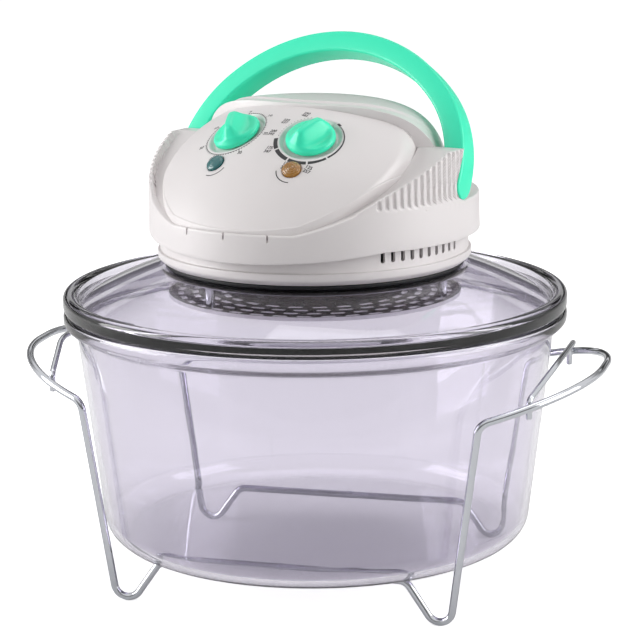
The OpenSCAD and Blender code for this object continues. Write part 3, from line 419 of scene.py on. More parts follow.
def rounded_path(points, radii, steps):
    """A polyline whose inner corners are arcs: each arc's points are the corner's centre plus the
    turn from one tangent point to the other, as a blend of both arms by sines."""
    points = np.asarray(points, float)
    before = unit(points[:-2] - points[1:-1])
    after = unit(points[2:] - points[1:-1])
    half = np.arccos(np.clip((before * after).sum(1), -1, 1)) / 2
    radii = np.asarray(radii, float)
    cut = radii / np.tan(half)
    centre = points[1:-1] + unit(before + after) * (radii / np.sin(half))[:, None]
    arm_in = points[1:-1] + before * cut[:, None] - centre
    arm_out = points[1:-1] + after * cut[:, None] - centre
    sweep = (math.pi - 2 * half)[:, None, None]
    t = np.linspace(0, 1, steps)[None, :, None]
    blend = np.sin((1 - t) * sweep) * arm_in[:, None] + np.sin(t * sweep) * arm_out[:, None]
    arcs = centre[:, None] + blend / np.sin(sweep)
    return np.concatenate([points[:1], arcs.reshape(-1, points.shape[1]), points[-1:]])


def rounded_outline(corners, radii, steps=6):
    """A closed flat outline with rounded corners: the same arcs as rounded_path, all the way round."""
    corners = np.asarray(corners, float)
    loop = np.concatenate([corners[-1:], corners, corners[:1]])
    rounded = rounded_path(loop, np.maximum(radii, 1e-6), steps)[1:-1].reshape(-1, steps, 2)
    return np.concatenate([arc if size > 0 else arc[:1] for arc, size in zip(rounded, radii)])


def revolve(outline, steps=256):
    """Turns a closed outline of (radius, height) points about the upright axis."""
    angle = full_turn(steps)[:, None]
    radius = outline[None, :, 0]
    height = np.broadcast_to(outline[None, :, 1], (steps, len(outline)))
    points = np.stack([radius * np.cos(angle), radius * np.sin(angle), height], -1)
    return points, grid_faces(steps, len(outline), True, True)


def tube(path, radius, anchor, sides=20):
    """A round tube along a path. Each ring stands square to the path, turned by the direction away
    from the anchor point, and the ends close on the path with a short round-over."""
    tangent = unit(np.gradient(path, axis=0))
    away = path - np.asarray(anchor)
    away = unit(away - tangent * (away * tangent).sum(1)[:, None])
    side = np.cross(tangent, away)
    turn = full_turn(sides)
    spokes = away[:, None] * np.cos(turn)[None, :, None] + side[:, None] * np.sin(turn)[None, :, None]
    ease = 0.3 * radius
    fade = np.array([0.0, 0.7, 0.92, 1.0])
    shift = ease * np.array([0.0, 0.0, 0.4, 1.0])
    first = path[0] + tangent[0] * shift[:, None]
    last = (path[-1] - tangent[-1] * shift[:, None])[::-1]
    centres = np.concatenate([first, path[1:-1], last])
    sizes = np.concatenate([fade, np.ones(len(path) - 2), fade[::-1]]) * radius
    rings = np.concatenate([np.repeat(spokes[:1], 4, 0), spokes[1:-1], np.repeat(spokes[-1:], 4, 0)])
    points = centres[:, None] + rings * sizes[:, None, None]
    return points, grid_faces(len(centres), sides, False, True)


def bowl_wall_r(z):
    """Outer radius of the bowl wall at a height: a straight line from the base corner to the flange."""
    share = (z - CORNER_Z) / (FLANGE_Z - CORNER_Z)
    return BASE_R + share * (BOWL_TOP[0] - SHOULDER_INSET - BASE_R)


def lowest_of_bend(corners, radius):
    """Height of the lowest point of the round bend at the middle of three corners."""
    return rounded_path(corners, [radius], 64)[:, 2].min()


def right_wire_route(wire_d):
    """Route of the right side wire: under the bowl, down to the foot, up the leg and out round the
    handle loop, then the same mirrored to the rear."""
    foot_r = 142.1 * MM
    foot_angle = math.radians(50.7)
    foot_x = foot_r * math.sin(foot_angle)
    foot_y = foot_r * math.cos(foot_angle)
    base_y = 2 * MM - foot_y
    base_z = STAND_H - wire_d / 2 - 0.05 * MM
    leg_z = 134.8 * MM
    leg_angle = math.radians(53.4)
    leg_r = bowl_wall_r(leg_z) + 6.7 * MM + wire_d / 2
    bend_r = 9 * MM
    straight = 4 * MM
    leg = np.array([leg_r * math.sin(leg_angle), -leg_r * math.cos(leg_angle), leg_z])
    nose = leg + np.array([63, 29, 18.2]) * MM
    weld = np.array([0, base_y, base_z])
    dip = np.array([foot_x - 27.6 * MM, base_y, base_z])
    foot = np.array([foot_x, -foot_y, 0])
    for attempt in range(12):
        foot[2] -= lowest_of_bend([dip, foot, leg], bend_r) - wire_d / 2
    half = np.array([weld, dip, foot, leg, nose])
    arm = np.linalg.norm(nose - leg)
    reach = (nose - leg) / arm
    leg_turn = math.acos(np.dot(unit(leg - foot), reach))
    cut = min(arm - bend_r * math.tan(leg_turn / 2) - straight, -nose[1] - straight)
    nose_r = cut / math.tan(math.acos(reach[1]) / 2)
    radii = np.array([bend_r] * 3 + [nose_r] * 2 + [bend_r] * 3)
    route = np.concatenate([half, half[::-1] * [1, -1, 1]])
    return route, radii, cut, nose_r


def right_bail_route(wire_d, bail_d):
    """Route of the right bail wire: its ends turn down inside the arms of the loop, and its crest
    is bowed up between the hand and the glass."""
    route, radii, cut, nose_r = right_wire_route(wire_d)
    leg, nose = route[3], route[4]
    back = unit(leg - nose)
    inward = unit(np.array([0, 1, 0]) - back * back[1])
    centre = nose + back * cut + inward * nose_r
    angle = math.radians(16)
    spoke = inward * math.cos(angle) + back * math.sin(angle)
    end = centre - nose_r * spoke + spoke * ((wire_d + bail_d) / 2 + 0.15 * MM)
    crest_z = 160.5 * MM
    crest = np.array([bowl_wall_r(crest_z) + 9.3 * MM + bail_d / 2, -33 * MM, crest_z])
    half = np.array([end - [0, 0, 8 * MM], end + [0, 0, 4 * MM], crest])
    path = np.concatenate([half, half[::-1] * [1, -1, 1]])
    return path, np.array([5, 45, 45, 5]) * MM, centre - nose_r * spoke, end


def weld_bead(centre, along, radius, length, seed):
    """A weld bead: an ellipsoid about a point, longer along one direction, whose surface is made
    uneven by a sum of three sine waves."""
    u, v = np.meshgrid(np.linspace(0, math.pi, 14), np.linspace(0, 2 * math.pi, 20), indexing="ij")
    along = unit(np.asarray(along))
    side = unit(np.cross(along, [0.13, 0.31, 0.94]))
    third = np.cross(along, side)
    swell = 1 + 0.06 * np.sin(5 * v + seed) * np.sin(u) + 0.05 * np.sin(7 * u + 2 * seed)
    swell += 0.04 * np.sin(3 * v + 4 * u)
    ring = radius * np.sin(u) * swell
    points = np.asarray(centre) + along * (length * np.cos(u))[..., None]
    points = points + side * (ring * np.cos(v))[..., None] + third * (ring * np.sin(v))[..., None]
    return points, grid_faces(14, 20)


def to_head(points):
    """Turns and lifts points, in millimetres from the head's base, into the oven's place in metres."""
    turn = bpy.context.scene.oven_sizes.head_turn
    points = np.asarray(points, float) * MM
    x = points[..., 0] * math.cos(turn) + points[..., 1] * math.sin(turn)
    y = points[..., 1] * math.cos(turn) - points[..., 0] * math.sin(turn)
    return np.stack([x, y, points[..., 2] + HEAD_Z], -1)


def head_piece(name, surface, slot, body="lid", nodes=(), **settings):
    """A piece whose points are in millimetres from the head's base."""
    points, faces = surface
    return new_piece(name, (to_head(points), faces), slot, body, nodes, **settings)


def smooth_step(low, high, value):
    """Eases from 0 at low to 1 at high by 3 t squared minus 2 t cubed."""
    t = np.clip((value - low) / (high - low), 0, 1)
    return t * t * (3 - 2 * t)


def soft_min(a, b, blend):
    """The lesser of two heights, with the crease between them rounded over the blend width."""
    near = np.maximum(blend - np.abs(a - b), 0) / blend
    return np.minimum(a, b) - near * near * blend / 4


def egg_height(q, high, power, round_):
    """Height of a form turned about its own axis: steep at its foot where q is 1, flat on top."""
    q = np.clip(q, 0, 1)
    return DOME_FOOT + (high - DOME_FOOT) * (1 - q ** power) ** round_


def panel_height(x, y):
    """Control panel: the lower of a crowned sphere and an egg shaped side, with a soft shoulder."""
    crown = CROWN_Z + np.sqrt(CROWN_R ** 2 - x ** 2 - (y - CROWN_Y) ** 2)
    q = np.hypot(x, y + PANEL_SHIFT) / PANEL_R
    return soft_min(crown, egg_height(q, DOME_H + 3.5, 4.0, 0.3), 9.0)


def cover_height(x, y):
    """Rear cover: a dome that is steep at its foot. The band next to the seam lies 1.2 mm lower and
    rises to the dome by a step."""
    q = np.hypot(x, y + DOME_SHIFT) / DOME_R
    behind = SEAM_R - np.hypot(x, y - SEAM_Y)
    step = 1.2 * (1 - smooth_step(9.0, 11.0, behind))
    return egg_height(q, DOME_H, 4.0, 0.32) - step


def reach_to_circle(start, direction, centre, radius, inside=True):
    """Distance along each direction from a point to a circle: the far crossing from inside it, the
    near one from outside, and a large number where the ray misses it."""
    offset = np.asarray(start, float) - np.asarray(centre, float)
    along = direction @ offset
    inner = along ** 2 - (offset @ offset - radius ** 2)
    root = np.sqrt(np.maximum(inner, 0))
    reach = -along + root if inside else -along - root
    return np.where((inner > 0) & (reach > 0), reach, 1e6)


def crowned_shell(start, reach, height, low, rings, angles):
    """A closed moulding over a star-shaped outline: rings run out from the start point to the
    outline, roll over a 1 mm edge, drop to the low height, and come back under the wall."""
    direction = np.stack([np.sin(angles), -np.cos(angles)], -1)
    share = np.sin(np.linspace(0, math.pi / 2, rings))
    out = share[:, None] * (reach - 1.0)[None, :]
    top = height(start[0] + out * direction[:, 0], start[1] + out * direction[:, 1])
    roll = np.linspace(0, math.pi / 2, 6)[1:, None]
    rim_out = reach - 1.0 + np.sin(roll)
    rim_top = top[-1:] - 1.0 + np.cos(roll)
    floor = np.minimum(np.broadcast_to(low, reach.shape), rim_top[-1] - 0.5)
    drop = np.stack([reach, reach - WALL])
    drop_z = np.stack([floor, floor])
    under = np.linspace(1, 0, 14)[:, None] * (reach - WALL)[None, :]
    under_z = height(start[0] + under * direction[:, 0], start[1] + under * direction[:, 1]) - WALL
    under_z = np.minimum(under_z, rim_top[-1] + 200 * (1 - under / reach) - 0.6)
    radius = np.concatenate([out, rim_out, drop, under])
    z = np.concatenate([top, rim_top, drop_z, under_z])
    x = start[0] + radius * direction[None, :, 0]
    y = start[1] + radius * direction[None, :, 1]
    return np.stack([x, y, z], -1), grid_faces(len(radius), len(angles), False, True)


def panel_axis(spot):
    """Foot, normal and two side directions of an axis that stands square on the panel's crown."""
    x, y = spot
    z = CROWN_Z + math.sqrt(CROWN_R ** 2 - x * x - (y - CROWN_Y) ** 2)
    foot = np.array([x, y, z])
    normal = unit(foot - [0, CROWN_Y, CROWN_Z])
    side = unit(np.cross([0, 1, 0], normal))
    return foot, normal, side, np.cross(normal, side)


def press_dish(points, spot, radius, flare, depth):
    """Sinks the points near an axis on the panel by the depth, with a sloping edge of the flare."""
    foot, normal, side, up = panel_axis(spot)
    offset = points - foot
    out = np.linalg.norm(offset - (offset @ normal)[..., None] * normal, axis=-1)
    near = 1 - smooth_step(radius, radius + flare, out)
    near = near * (np.abs(offset @ normal) < 12)
    return points - normal * (depth * near)[..., None]


def print_on_panel(flat, spot):
    """Lays flat points, given sideways and up from an axis, on the panel's surface, 0.07 mm proud."""
    foot, normal, side, up = panel_axis(spot)
    laid = foot + flat[..., :1] * side + flat[..., 1:2] * up
    z = panel_height(laid[..., 0], laid[..., 1])
    return np.stack([laid[..., 0], laid[..., 1], z], -1) + normal * 0.07


def arc_band(start, end, inner, outer, steps):
    """Flat band between two radii, which may change along it, over clockwise degrees from up."""
    angle = np.radians(np.linspace(start, end, steps))
    rim = np.stack([np.sin(angle), np.cos(angle)], -1)
    t = np.linspace(0, 1, steps)[:, None]
    inside = rim * (inner[0] + (inner[1] - inner[0]) * t)
    outside = rim * (outer[0] + (outer[1] - outer[0]) * t)
    return np.stack([inside, outside], 1), grid_faces(steps, 2)


def number_outline(text, size, centre, lean):
    """Flat outline of a number as points and faces, centred at a point and turned by lean degrees."""
    curve = bpy.data.curves.new("number", "FONT")
    curve.body = text
    curve.size = size
    curve.align_x = "CENTER"
    curve.align_y = "CENTER"
    curve.resolution_u = 3
    curve.offset = 0.07
    holder = bpy.data.objects.new("number", curve)
    bpy.context.scene.collection.objects.link(holder)
    bpy.context.view_layer.update()
    mesh = bpy.data.meshes.new_from_object(holder.evaluated_get(bpy.context.evaluated_depsgraph_get()))
    shell = bmesh.new()
    shell.from_mesh(mesh)
    bmesh.ops.triangulate(shell, faces=shell.faces)
    shell.to_mesh(mesh)
    shell.free()
    flat = np.empty(len(mesh.vertices) * 3)
    mesh.vertices.foreach_get("co", flat)
    faces = np.empty(len(mesh.polygons) * 3, int)
    mesh.polygons.foreach_get("vertices", faces)
    bpy.data.objects.remove(holder)
    bpy.data.curves.remove(curve)
    bpy.data.meshes.remove(mesh)
    flat = flat.reshape(-1, 3)[:, :2]
    turn = math.radians(lean)
    x = flat[:, 0] * math.cos(turn) + flat[:, 1] * math.sin(turn)
    y = flat[:, 1] * math.cos(turn) - flat[:, 0] * math.sin(turn)
    return np.stack([x, y], -1) + np.asarray(centre), faces.reshape(-1, 3)


def stand_in_front(z):
    """How far back the shoulders' rear face lies at each height: a plane that leans as the handle,
    and below its foot the arc that stands round the handle's end."""
    plane = PIVOT_Y + (z - PIVOT_H) * math.tan(HANDLE_LEAN) - HANDLE_FRONT / math.cos(HANDLE_LEAN)
    arc = PIVOT_Y - np.sqrt(np.maximum(HANDLE_FRONT ** 2 - (z - PIVOT_H) ** 2, 0))
    return np.where(z > PIVOT_H + HANDLE_FRONT * math.sin(HANDLE_LEAN), plane, arc)


def band_radius(z):
    """Outer radius of the casing band at a height: it draws in a little towards the top."""
    return BAND_R + (BAND_TOP_R - BAND_R) * z / SHOULDER_H


def lower_edge(y):
    """Height of the band's lower edge: it rises from the front to the sides and stays level behind."""
    height = BAND_LOW_H + (y + BAND_R) * (BAND_SIDE_H - BAND_LOW_H) / EDGE_RISE
    return np.clip(height, BAND_LOW_H, BAND_SIDE_H)


def deck_height(y):
    """Height of the sloping deck, cut off by the flat tops of the shoulders."""
    return np.minimum(DECK_H + y * math.tan(DECK_SLOPE), SHOULDER_H)


def rib_groove(azimuth, z, depth):
    """Depth of the grooves between the grip ribs: a row of rounded troughs along the band, each
    with a rounded lower end."""
    first, pitch, last = 53.3, 2.76, 15
    place = (np.degrees(np.abs(azimuth)) - first) / pitch
    from_middle = np.abs(place - np.clip(np.round(place), 0, last))
    trough = 1 - smooth_step(0.18, 0.31, from_middle)
    return depth * trough * smooth_step(LEDGE_H + 1.5, LEDGE_H + 3.5, z)


def casing_front(depth):
    """Front part of the casing, as a grid of columns round the band and rows up its section: inner
    wall, lower edge, ribbed outer wall, a 1.2 mm roll on to the deck, and the deck in to the panel."""
    end_low = math.acos(-stand_in_front(LEDGE_H) / band_radius(LEDGE_H))
    side = np.radians(np.arange(51.5, math.degrees(end_low), 0.24))
    front = np.radians(np.arange(20, 51.5, 1.5))
    notch = np.radians([15.3, 15.62, 15.64, 16, 16.36, 16.38, 16.7])
    middle = np.radians([0.36, 0.38, 0.7, 2, 4, 6, 8, 10, 12, 14])
    half = np.concatenate([middle, notch, front, side, [end_low]])
    u = np.concatenate([-half[::-1], [0], half])
    share = u / end_low
    notched = (np.abs(u) < math.radians(0.37)) | (np.abs(np.abs(u) - math.radians(16)) < math.radians(0.37))

    def place(radius, z):
        end = np.arccos(np.clip(-stand_in_front(np.maximum(z, LEDGE_H)) / radius, -1, 1))
        azimuth = share * end
        return azimuth, np.stack([radius * np.sin(azimuth), -radius * np.cos(azimuth), z], -1)

    low = lower_edge(-BAND_R * np.cos(u))
    top_y = -BAND_TOP_R * np.cos(u * 1.06)
    top = np.maximum(deck_height(top_y), LIP_H) - 4.0 * notched
    roll = 1.2
    rows = []
    for z in (np.minimum(top - 4, 42.0), low):
        rows.append(place(band_radius(z) - WALL, z)[1])
    for out, up in ((0.6, 0.0), (0.15, 0.2), (0.0, 0.7)):
        rows.append(place(band_radius(low) - out, low + up)[1])
    wall_top = top - roll
    knee = np.minimum(LEDGE_H, low + 0.8 + (wall_top - low) * 0.5)
    for t in np.linspace(0, 1, 5)[1:]:
        rows.append(place(band_radius(low + t * (knee - low)), low + t * (knee - low))[1])
    for t in np.linspace(0, 1, 18)[1:]:
        z = knee + t * (wall_top - knee)
        azimuth = place(band_radius(z), z)[0]
        rows.append(place(band_radius(z) - rib_groove(azimuth, z, depth), z)[1])
    for t in np.radians([22.5, 45, 67.5, 90]):
        z = top - roll + roll * np.sin(t)
        azimuth = place(band_radius(top), z)[0]
        inset = roll * (1 - np.cos(t)) + rib_groove(azimuth, z, depth) * (1 - 0.35 * np.sin(t))
        rows.append(place(band_radius(top) - inset, z)[1])
    edge = rows[-1]
    inner_r = PANEL_R - 2.5
    inner_end = math.pi / 2 + math.asin((stand_in_front(SHOULDER_H) + PANEL_SHIFT) / inner_r)
    swing = share * inner_end
    inner = np.stack([inner_r * np.sin(swing), -PANEL_SHIFT - inner_r * np.cos(swing)], -1)
    for t in (0.06, 0.14, 0.25, 0.4, 0.6, 0.8, 1.0):
        spot = edge[:, :2] + t * (inner - edge[:, :2])
        beyond = np.hypot(spot[:, 0], spot[:, 1]) < BAND_TOP_R - WALL
        height = np.where(beyond, deck_height(spot[:, 1]), np.maximum(deck_height(spot[:, 1]), top))
        ease = np.clip(t / 0.14, 0, 1)
        rows.append(np.concatenate([spot, (edge[:, 2] + ease * (height - edge[:, 2]))[:, None]], 1))
    rows.append(rows[-1] - [0, 0, WALL])
    points = np.stack(rows)
    return points, grid_faces(len(points), len(u))


def casing_rear():
    """Rear part of the casing: the same section with its top at the ledge, round the back. The faces
    in front of the power inlet are left out."""
    start = math.acos(-stand_in_front(LEDGE_H) / band_radius(LEDGE_H))
    inlet = math.asin(INLET_HALF_W / BAND_R)
    side = np.linspace(start, math.pi - inlet, 66)
    u = np.concatenate([side, math.pi + inlet * np.linspace(-0.9, 0.9, 10), 2 * math.pi - side[::-1]])
    low = lower_edge(-BAND_R * np.cos(u))
    ring = np.stack([np.sin(u), -np.cos(u)], -1)
    top_r = band_radius(LEDGE_H)
    section = [(top_r - WALL, z + 0 * u) for z in (42.0, INLET_HIGH, INLET_LOW)]
    section += [(band_radius(low) - WALL, low)]
    section += [(band_radius(low) - out, low + up) for out, up in ((0.6, 0.0), (0.15, 0.2), (0.0, 0.7))]
    section += [(band_radius(z), z + 0 * u) for z in (INLET_LOW, INLET_HIGH, LEDGE_H - 1.2)]
    section += [
        (top_r - 1.2 * (1 - math.cos(t)), LEDGE_H - 1.2 + 1.2 * math.sin(t) + 0 * u)
        for t in np.radians([22.5, 45, 67.5, 90])
    ]
    rows = [np.concatenate([ring * np.reshape(r + 0 * u, (-1, 1)), z[:, None]], 1) for r, z in section]
    inner_r = DOME_R - 2.5
    inner = ring * inner_r - [0, DOME_SHIFT]
    level = np.full((len(u), 1), LEDGE_H)
    rows += [np.concatenate([rows[-1][:, :2] * (1 - t) + inner * t, level], 1) for t in (0.5, 1.0)]
    rows.append(rows[-1] - [0, 0, WALL])
    points = np.stack(rows)
    faces = grid_faces(len(points), len(u))
    row, column = np.divmod(faces[:, 0], len(u))
    open_ = np.isin(row, (1, 7)) & (column >= 65) & (column <= 75)
    return points, faces[~open_]


def casing_steps():
    """The two faces where the shoulders end in front of the handle, from the ledge to their tops."""
    z = np.linspace(LEDGE_H - 0.5, SHOULDER_H, 12)[:, None]
    t = np.linspace(0, 1, 6)[None, :]
    y = stand_in_front(z)
    outer = np.sqrt(band_radius(z) ** 2 - y ** 2) - 0.15
    x = outer + t * (80.0 - outer)
    right = np.stack(np.broadcast_arrays(x, y, z), -1)
    return [(right, grid_faces(12, 6)), (right * [-1, 1, 1], grid_faces(12, 6))]


def handle_rings(sizes):
    """The carry handle as rings of a rounded oblong along an arch of three tangent arcs. Below each
    pivot the oblong narrows from front to rear, which rounds the end about the pivot."""
    thick = sizes.handle_thickness / MM
    depth = sizes.handle_depth / MM
    half_w, reach, side_r = 109.0, 98.0, 90.0
    side_x = half_w - side_r
    top_r = (side_x ** 2 + reach ** 2 - side_r ** 2) / (2 * (reach - side_r))
    joint = math.pi / 2 - math.atan(side_x / (top_r - reach))
    middle_r = side_r - thick / 2
    side_angle = np.linspace(0, joint, 40)
    side = np.stack([side_x + middle_r * np.cos(side_angle), middle_r * np.sin(side_angle)], -1)
    top_angle = np.linspace(joint, math.pi - joint, 40)[1:-1]
    crest = np.stack([np.cos(top_angle), np.sin(top_angle)], -1) * (top_r - thick / 2)
    crest[:, 1] += reach - top_r
    below = np.sin(np.linspace(math.pi / 2, 0, 14))[:-1] * depth / 2
    foot = np.stack([np.full_like(below, half_w - thick / 2), -below], -1)
    right = np.concatenate([foot, side])
    path = np.concatenate([right, crest, right[::-1] * [-1, 1]])
    half_depth = np.sqrt(np.maximum((depth / 2) ** 2 - np.minimum(path[:, 1], 0) ** 2, 0.0))
    tangent = unit(np.gradient(path, axis=0))
    tangent[:13] = [0, 1]
    tangent[-13:] = [0, -1]
    across = np.stack([tangent[:, 1], -tangent[:, 0]], -1)
    edge = np.minimum(sizes.handle_edge / MM, half_depth * 0.6)
    edge = np.where(path[:, 1] < 0, edge, sizes.handle_edge / MM)
    quarter = np.linspace(0, math.pi / 2, 6)
    turn = np.concatenate([quarter + k * math.pi / 2 for k in range(4)])
    sign_x = np.repeat([1, -1, -1, 1], 6)
    sign_y = np.repeat([1, 1, -1, -1], 6)
    out = sign_x * (thick / 2 - edge[:, None]) + edge[:, None] * np.cos(turn)
    fore = sign_y * (half_depth[:, None] - edge[:, None]) + edge[:, None] * np.sin(turn)
    x = path[:, :1] + across[:, :1] * out
    z = path[:, 1:] + across[:, 1:] * out
    points = np.stack([x, fore, z], -1)
    lean = HANDLE_LEAN
    y = points[..., 1] * math.cos(lean) + points[..., 2] * math.sin(lean)
    z = points[..., 2] * math.cos(lean) - points[..., 1] * math.sin(lean)
    placed = np.stack([points[..., 0], y + PIVOT_Y, z + PIVOT_H], -1)
    return placed, grid_faces(len(path), len(turn), False, True)


def knob_surface(spot, radius, turn):
    """A knob as a height over its round skirt: a grip bar with hollow flanks that flare into the
    skirt, from bell curves across and along the bar, over a rounded skirt edge."""
    foot, normal, side, up = panel_axis(spot)
    rho, angle = np.meshgrid(
        np.concatenate([np.linspace(0, 0.94, 48), [0.97, 0.99, 1.0]]) * radius,
        full_turn(120),
        indexing="ij",
    )
    a, b = rho * np.cos(angle), rho * np.sin(angle)
    across = a * math.cos(turn) + b * math.sin(turn)
    along = b * math.cos(turn) - a * math.sin(turn)
    bar_w, bar_l, bar_h = 5.4, 12.6, 11.0
    bar = 1 / (1 + np.abs(across / bar_w) ** 3.2) / (1 + np.abs(along / bar_l) ** 8.0)
    bar = bar * (1 - smooth_step(0.88, 1.0, rho / radius))
    saucer = 1.3 * smooth_step(0.6, 0.95, rho / radius)
    edge = 1.3 * (1 - np.sqrt(np.maximum(1 - np.clip((rho / radius - 0.9) / 0.1, 0, 1) ** 2, 0)))
    height = bar_h * bar * (1 - 0.0006 * along ** 2) + saucer - edge
    under = np.stack([rho[-1:], rho[-1:] * 0.97, rho[-1:] * 0]).reshape(3, -1)
    low = np.array([-2.1, -2.6, -2.6])[:, None] + 0 * under
    rho = np.concatenate([rho, under])
    height = np.concatenate([height, low])
    angle = np.concatenate([angle, np.repeat(angle[-1:], 3, 0)])
    a, b = rho * np.cos(angle), rho * np.sin(angle)
    points = foot + a[..., None] * side + b[..., None] * up + height[..., None] * normal
    return points, grid_faces(len(rho), 120, False, True)


def lens_surface(spot, ripple):
    """A lens as a low dome turned about its axis, with round ripples of the given depth, 1.5 mm
    apart, and a side wall down into its hole."""
    foot, normal, side, up = panel_axis(spot)
    r = np.concatenate([np.linspace(0, 5.4, 40), 5.4 + 0.5 * np.sin(np.radians([30, 60, 90])), [5.9, 0]])
    z = 0.5 + 1.7 * np.sqrt(np.maximum(1 - (r / 6.4) ** 2, 0)) + ripple * np.cos(2 * math.pi * r / 1.5)
    z[40:43] = z[39] - 0.5 * (1 - np.cos(np.radians([30, 60, 90])))
    z[43:] = -1.6
    angle = full_turn(72)
    a = r[:, None] * np.cos(angle)
    b = r[:, None] * np.sin(angle)
    points = foot + a[..., None] * side + b[..., None] * up + z[:, None, None] * normal
    return points, grid_faces(len(r), 72, False, True)


def slot_cutter(angle, radius, width, low, high):
    """An upright slot with round ends, pushed through the neck wall along its radius."""
    turn = full_turn(24)
    y = width / 2 * np.cos(turn)
    z = np.where(np.sin(turn) > 0, high - width / 2, low + width / 2) + width / 2 * np.sin(turn)
    depth = np.array([radius - 12.0, radius - 12.0, radius + 2.0, radius + 2.0])[:, None]
    spread = np.array([0.0, 1.0, 1.0, 0.0])[:, None]
    middle = (high + low) / 2
    side = y * spread
    up = middle + (z - middle) * spread
    x = depth * math.sin(angle) + side * math.cos(angle)
    back = -depth * math.cos(angle) + side * math.sin(angle)
    points = np.stack(np.broadcast_arrays(x, back, up), -1)
    return points, grid_faces(4, 24, False, True)


class OVEN_OT_stand(bpy.types.Operator):
    """Side wires, bail wires and their weld beads"""

    bl_idname = "oven.stand"
    bl_label = "Wire stand"

    def execute(self, context):
        sizes = context.scene.oven_sizes
        wire_d, bail_d = sizes.wire_diameter, sizes.bail_diameter
        route, radii = right_wire_route(wire_d)[:2]
        path = rounded_path(route, radii, 26)
        bail, bail_radii, arm, end = right_bail_route(wire_d, bail_d)
        bail_path = rounded_path(bail, bail_radii, 20)
        wire_anchor = np.array([0.02, 0, 0.1])
        bail_anchor = np.array([0.1, 0, 0.3])
        for name, flip in (("right", 1), ("left", -1)):
            mirror = np.array([flip, 1, 1])
            wire = tube(path * mirror, wire_d / 2, wire_anchor * mirror)
            new_piece(f"{name}_side_wire", wire, "stand_chrome", "stand", [f"{name}_stand_wire"])
            wire = tube(bail_path * mirror, bail_d / 2, bail_anchor * mirror)
            new_piece(f"{name}_bail", wire, "stand_chrome", "stand", [f"{name}_bail_wire"])
        beads = []
        for y, seed in ((route[0][1], 1.0), (-route[0][1], 2.5)):
            beads.append(weld_bead((0, y, route[0][2]), (1, 0, 0), wire_d * 0.56, 4.5 * MM, seed))
        middle = (arm + end) / 2
        for x, y, seed in ((1, 1, 0.4), (1, -1, 1.7), (-1, 1, 3.1), (-1, -1, 4.2)):
            spot = middle * [x, y, 1]
            beads.append(weld_bead(spot, (0, 0, 1), 1.9 * MM, 2.1 * MM, seed))
        new_piece("weld_beads", join_grids(beads), "stand_chrome", "stand")
        return {"FINISHED"}


class OVEN_OT_glass(bpy.types.Operator):
    """Glass bowl and glass lid, each turned from one rounded outline"""

    bl_idname = "oven.glass"
    bl_label = "Bowl and lid"

    def execute(self, context):
        sizes = context.scene.oven_sizes
        rim, wall = sizes.rim_radius, sizes.glass_thickness
        shoulder = rim - SHOULDER_INSET
        inside = shoulder - wall * 1.007
        bowl = rounded_outline(
            [
                (0, STAND_H), (BASE_R, STAND_H), (BASE_R, CORNER_Z), (shoulder, FLANGE_Z),
                (rim, FLANGE_Z + 2.2 * MM), (rim, RIM_Z), (inside, RIM_Z), (inside, FLANGE_Z),
                (BASE_R - wall, CORNER_Z), (BASE_R - wall, STAND_H + wall), (0, STAND_H + wall),
            ],
            np.array([0, 17.9, 4, 4.5, 3.2, 3.2, 1.2, 6, 4, 13.4, 0]) * MM,
            9,
        )
        new_piece("bowl", revolve(bowl), "clear_glass", "bowl", ["glass_bowl"], crease=60)
        land = RIM_Z + 29 * MM
        edge_r, edge_z = rim - 9 * MM, RIM_Z + wall + 0.3 * MM
        dome_z = (edge_z ** 2 + edge_r ** 2 - land ** 2 - LAND_R ** 2) / (2 * (edge_z - land))
        dome_r = math.hypot(edge_r, edge_z - dome_z)
        out = np.linspace(edge_r - 0.5 * MM, LAND_R, 26)
        top = np.stack([out, dome_z + np.sqrt(dome_r ** 2 - out ** 2)], -1)
        under_r = dome_r - wall
        back = np.linspace(LAND_R, edge_r - 3 * MM, 22)
        below = np.stack([back, dome_z + np.sqrt(under_r ** 2 - back ** 2)], -1)
        seat = RIM_Z + 0.02 * MM
        crest = RIM_Z + 12 * MM
        bead = rounded_path(
            [
                below[-1], (rim - 11 * MM, seat), (rim, seat), (rim, crest), (edge_r, crest),
                (edge_r, edge_z), top[1],
            ],
            np.array([1.0, 3.4, 3.9, 3.9, 1.6]) * MM,
            9,
        )
        hole = np.array([(90 * MM, land), (90 * MM, land - wall)])
        lid = np.concatenate([bead, top[2:], hole, below[:-1]])
        new_piece("lid", revolve(lid), "clear_glass", "lid", ["glass_lid"], crease=60)
        return {"FINISHED"}


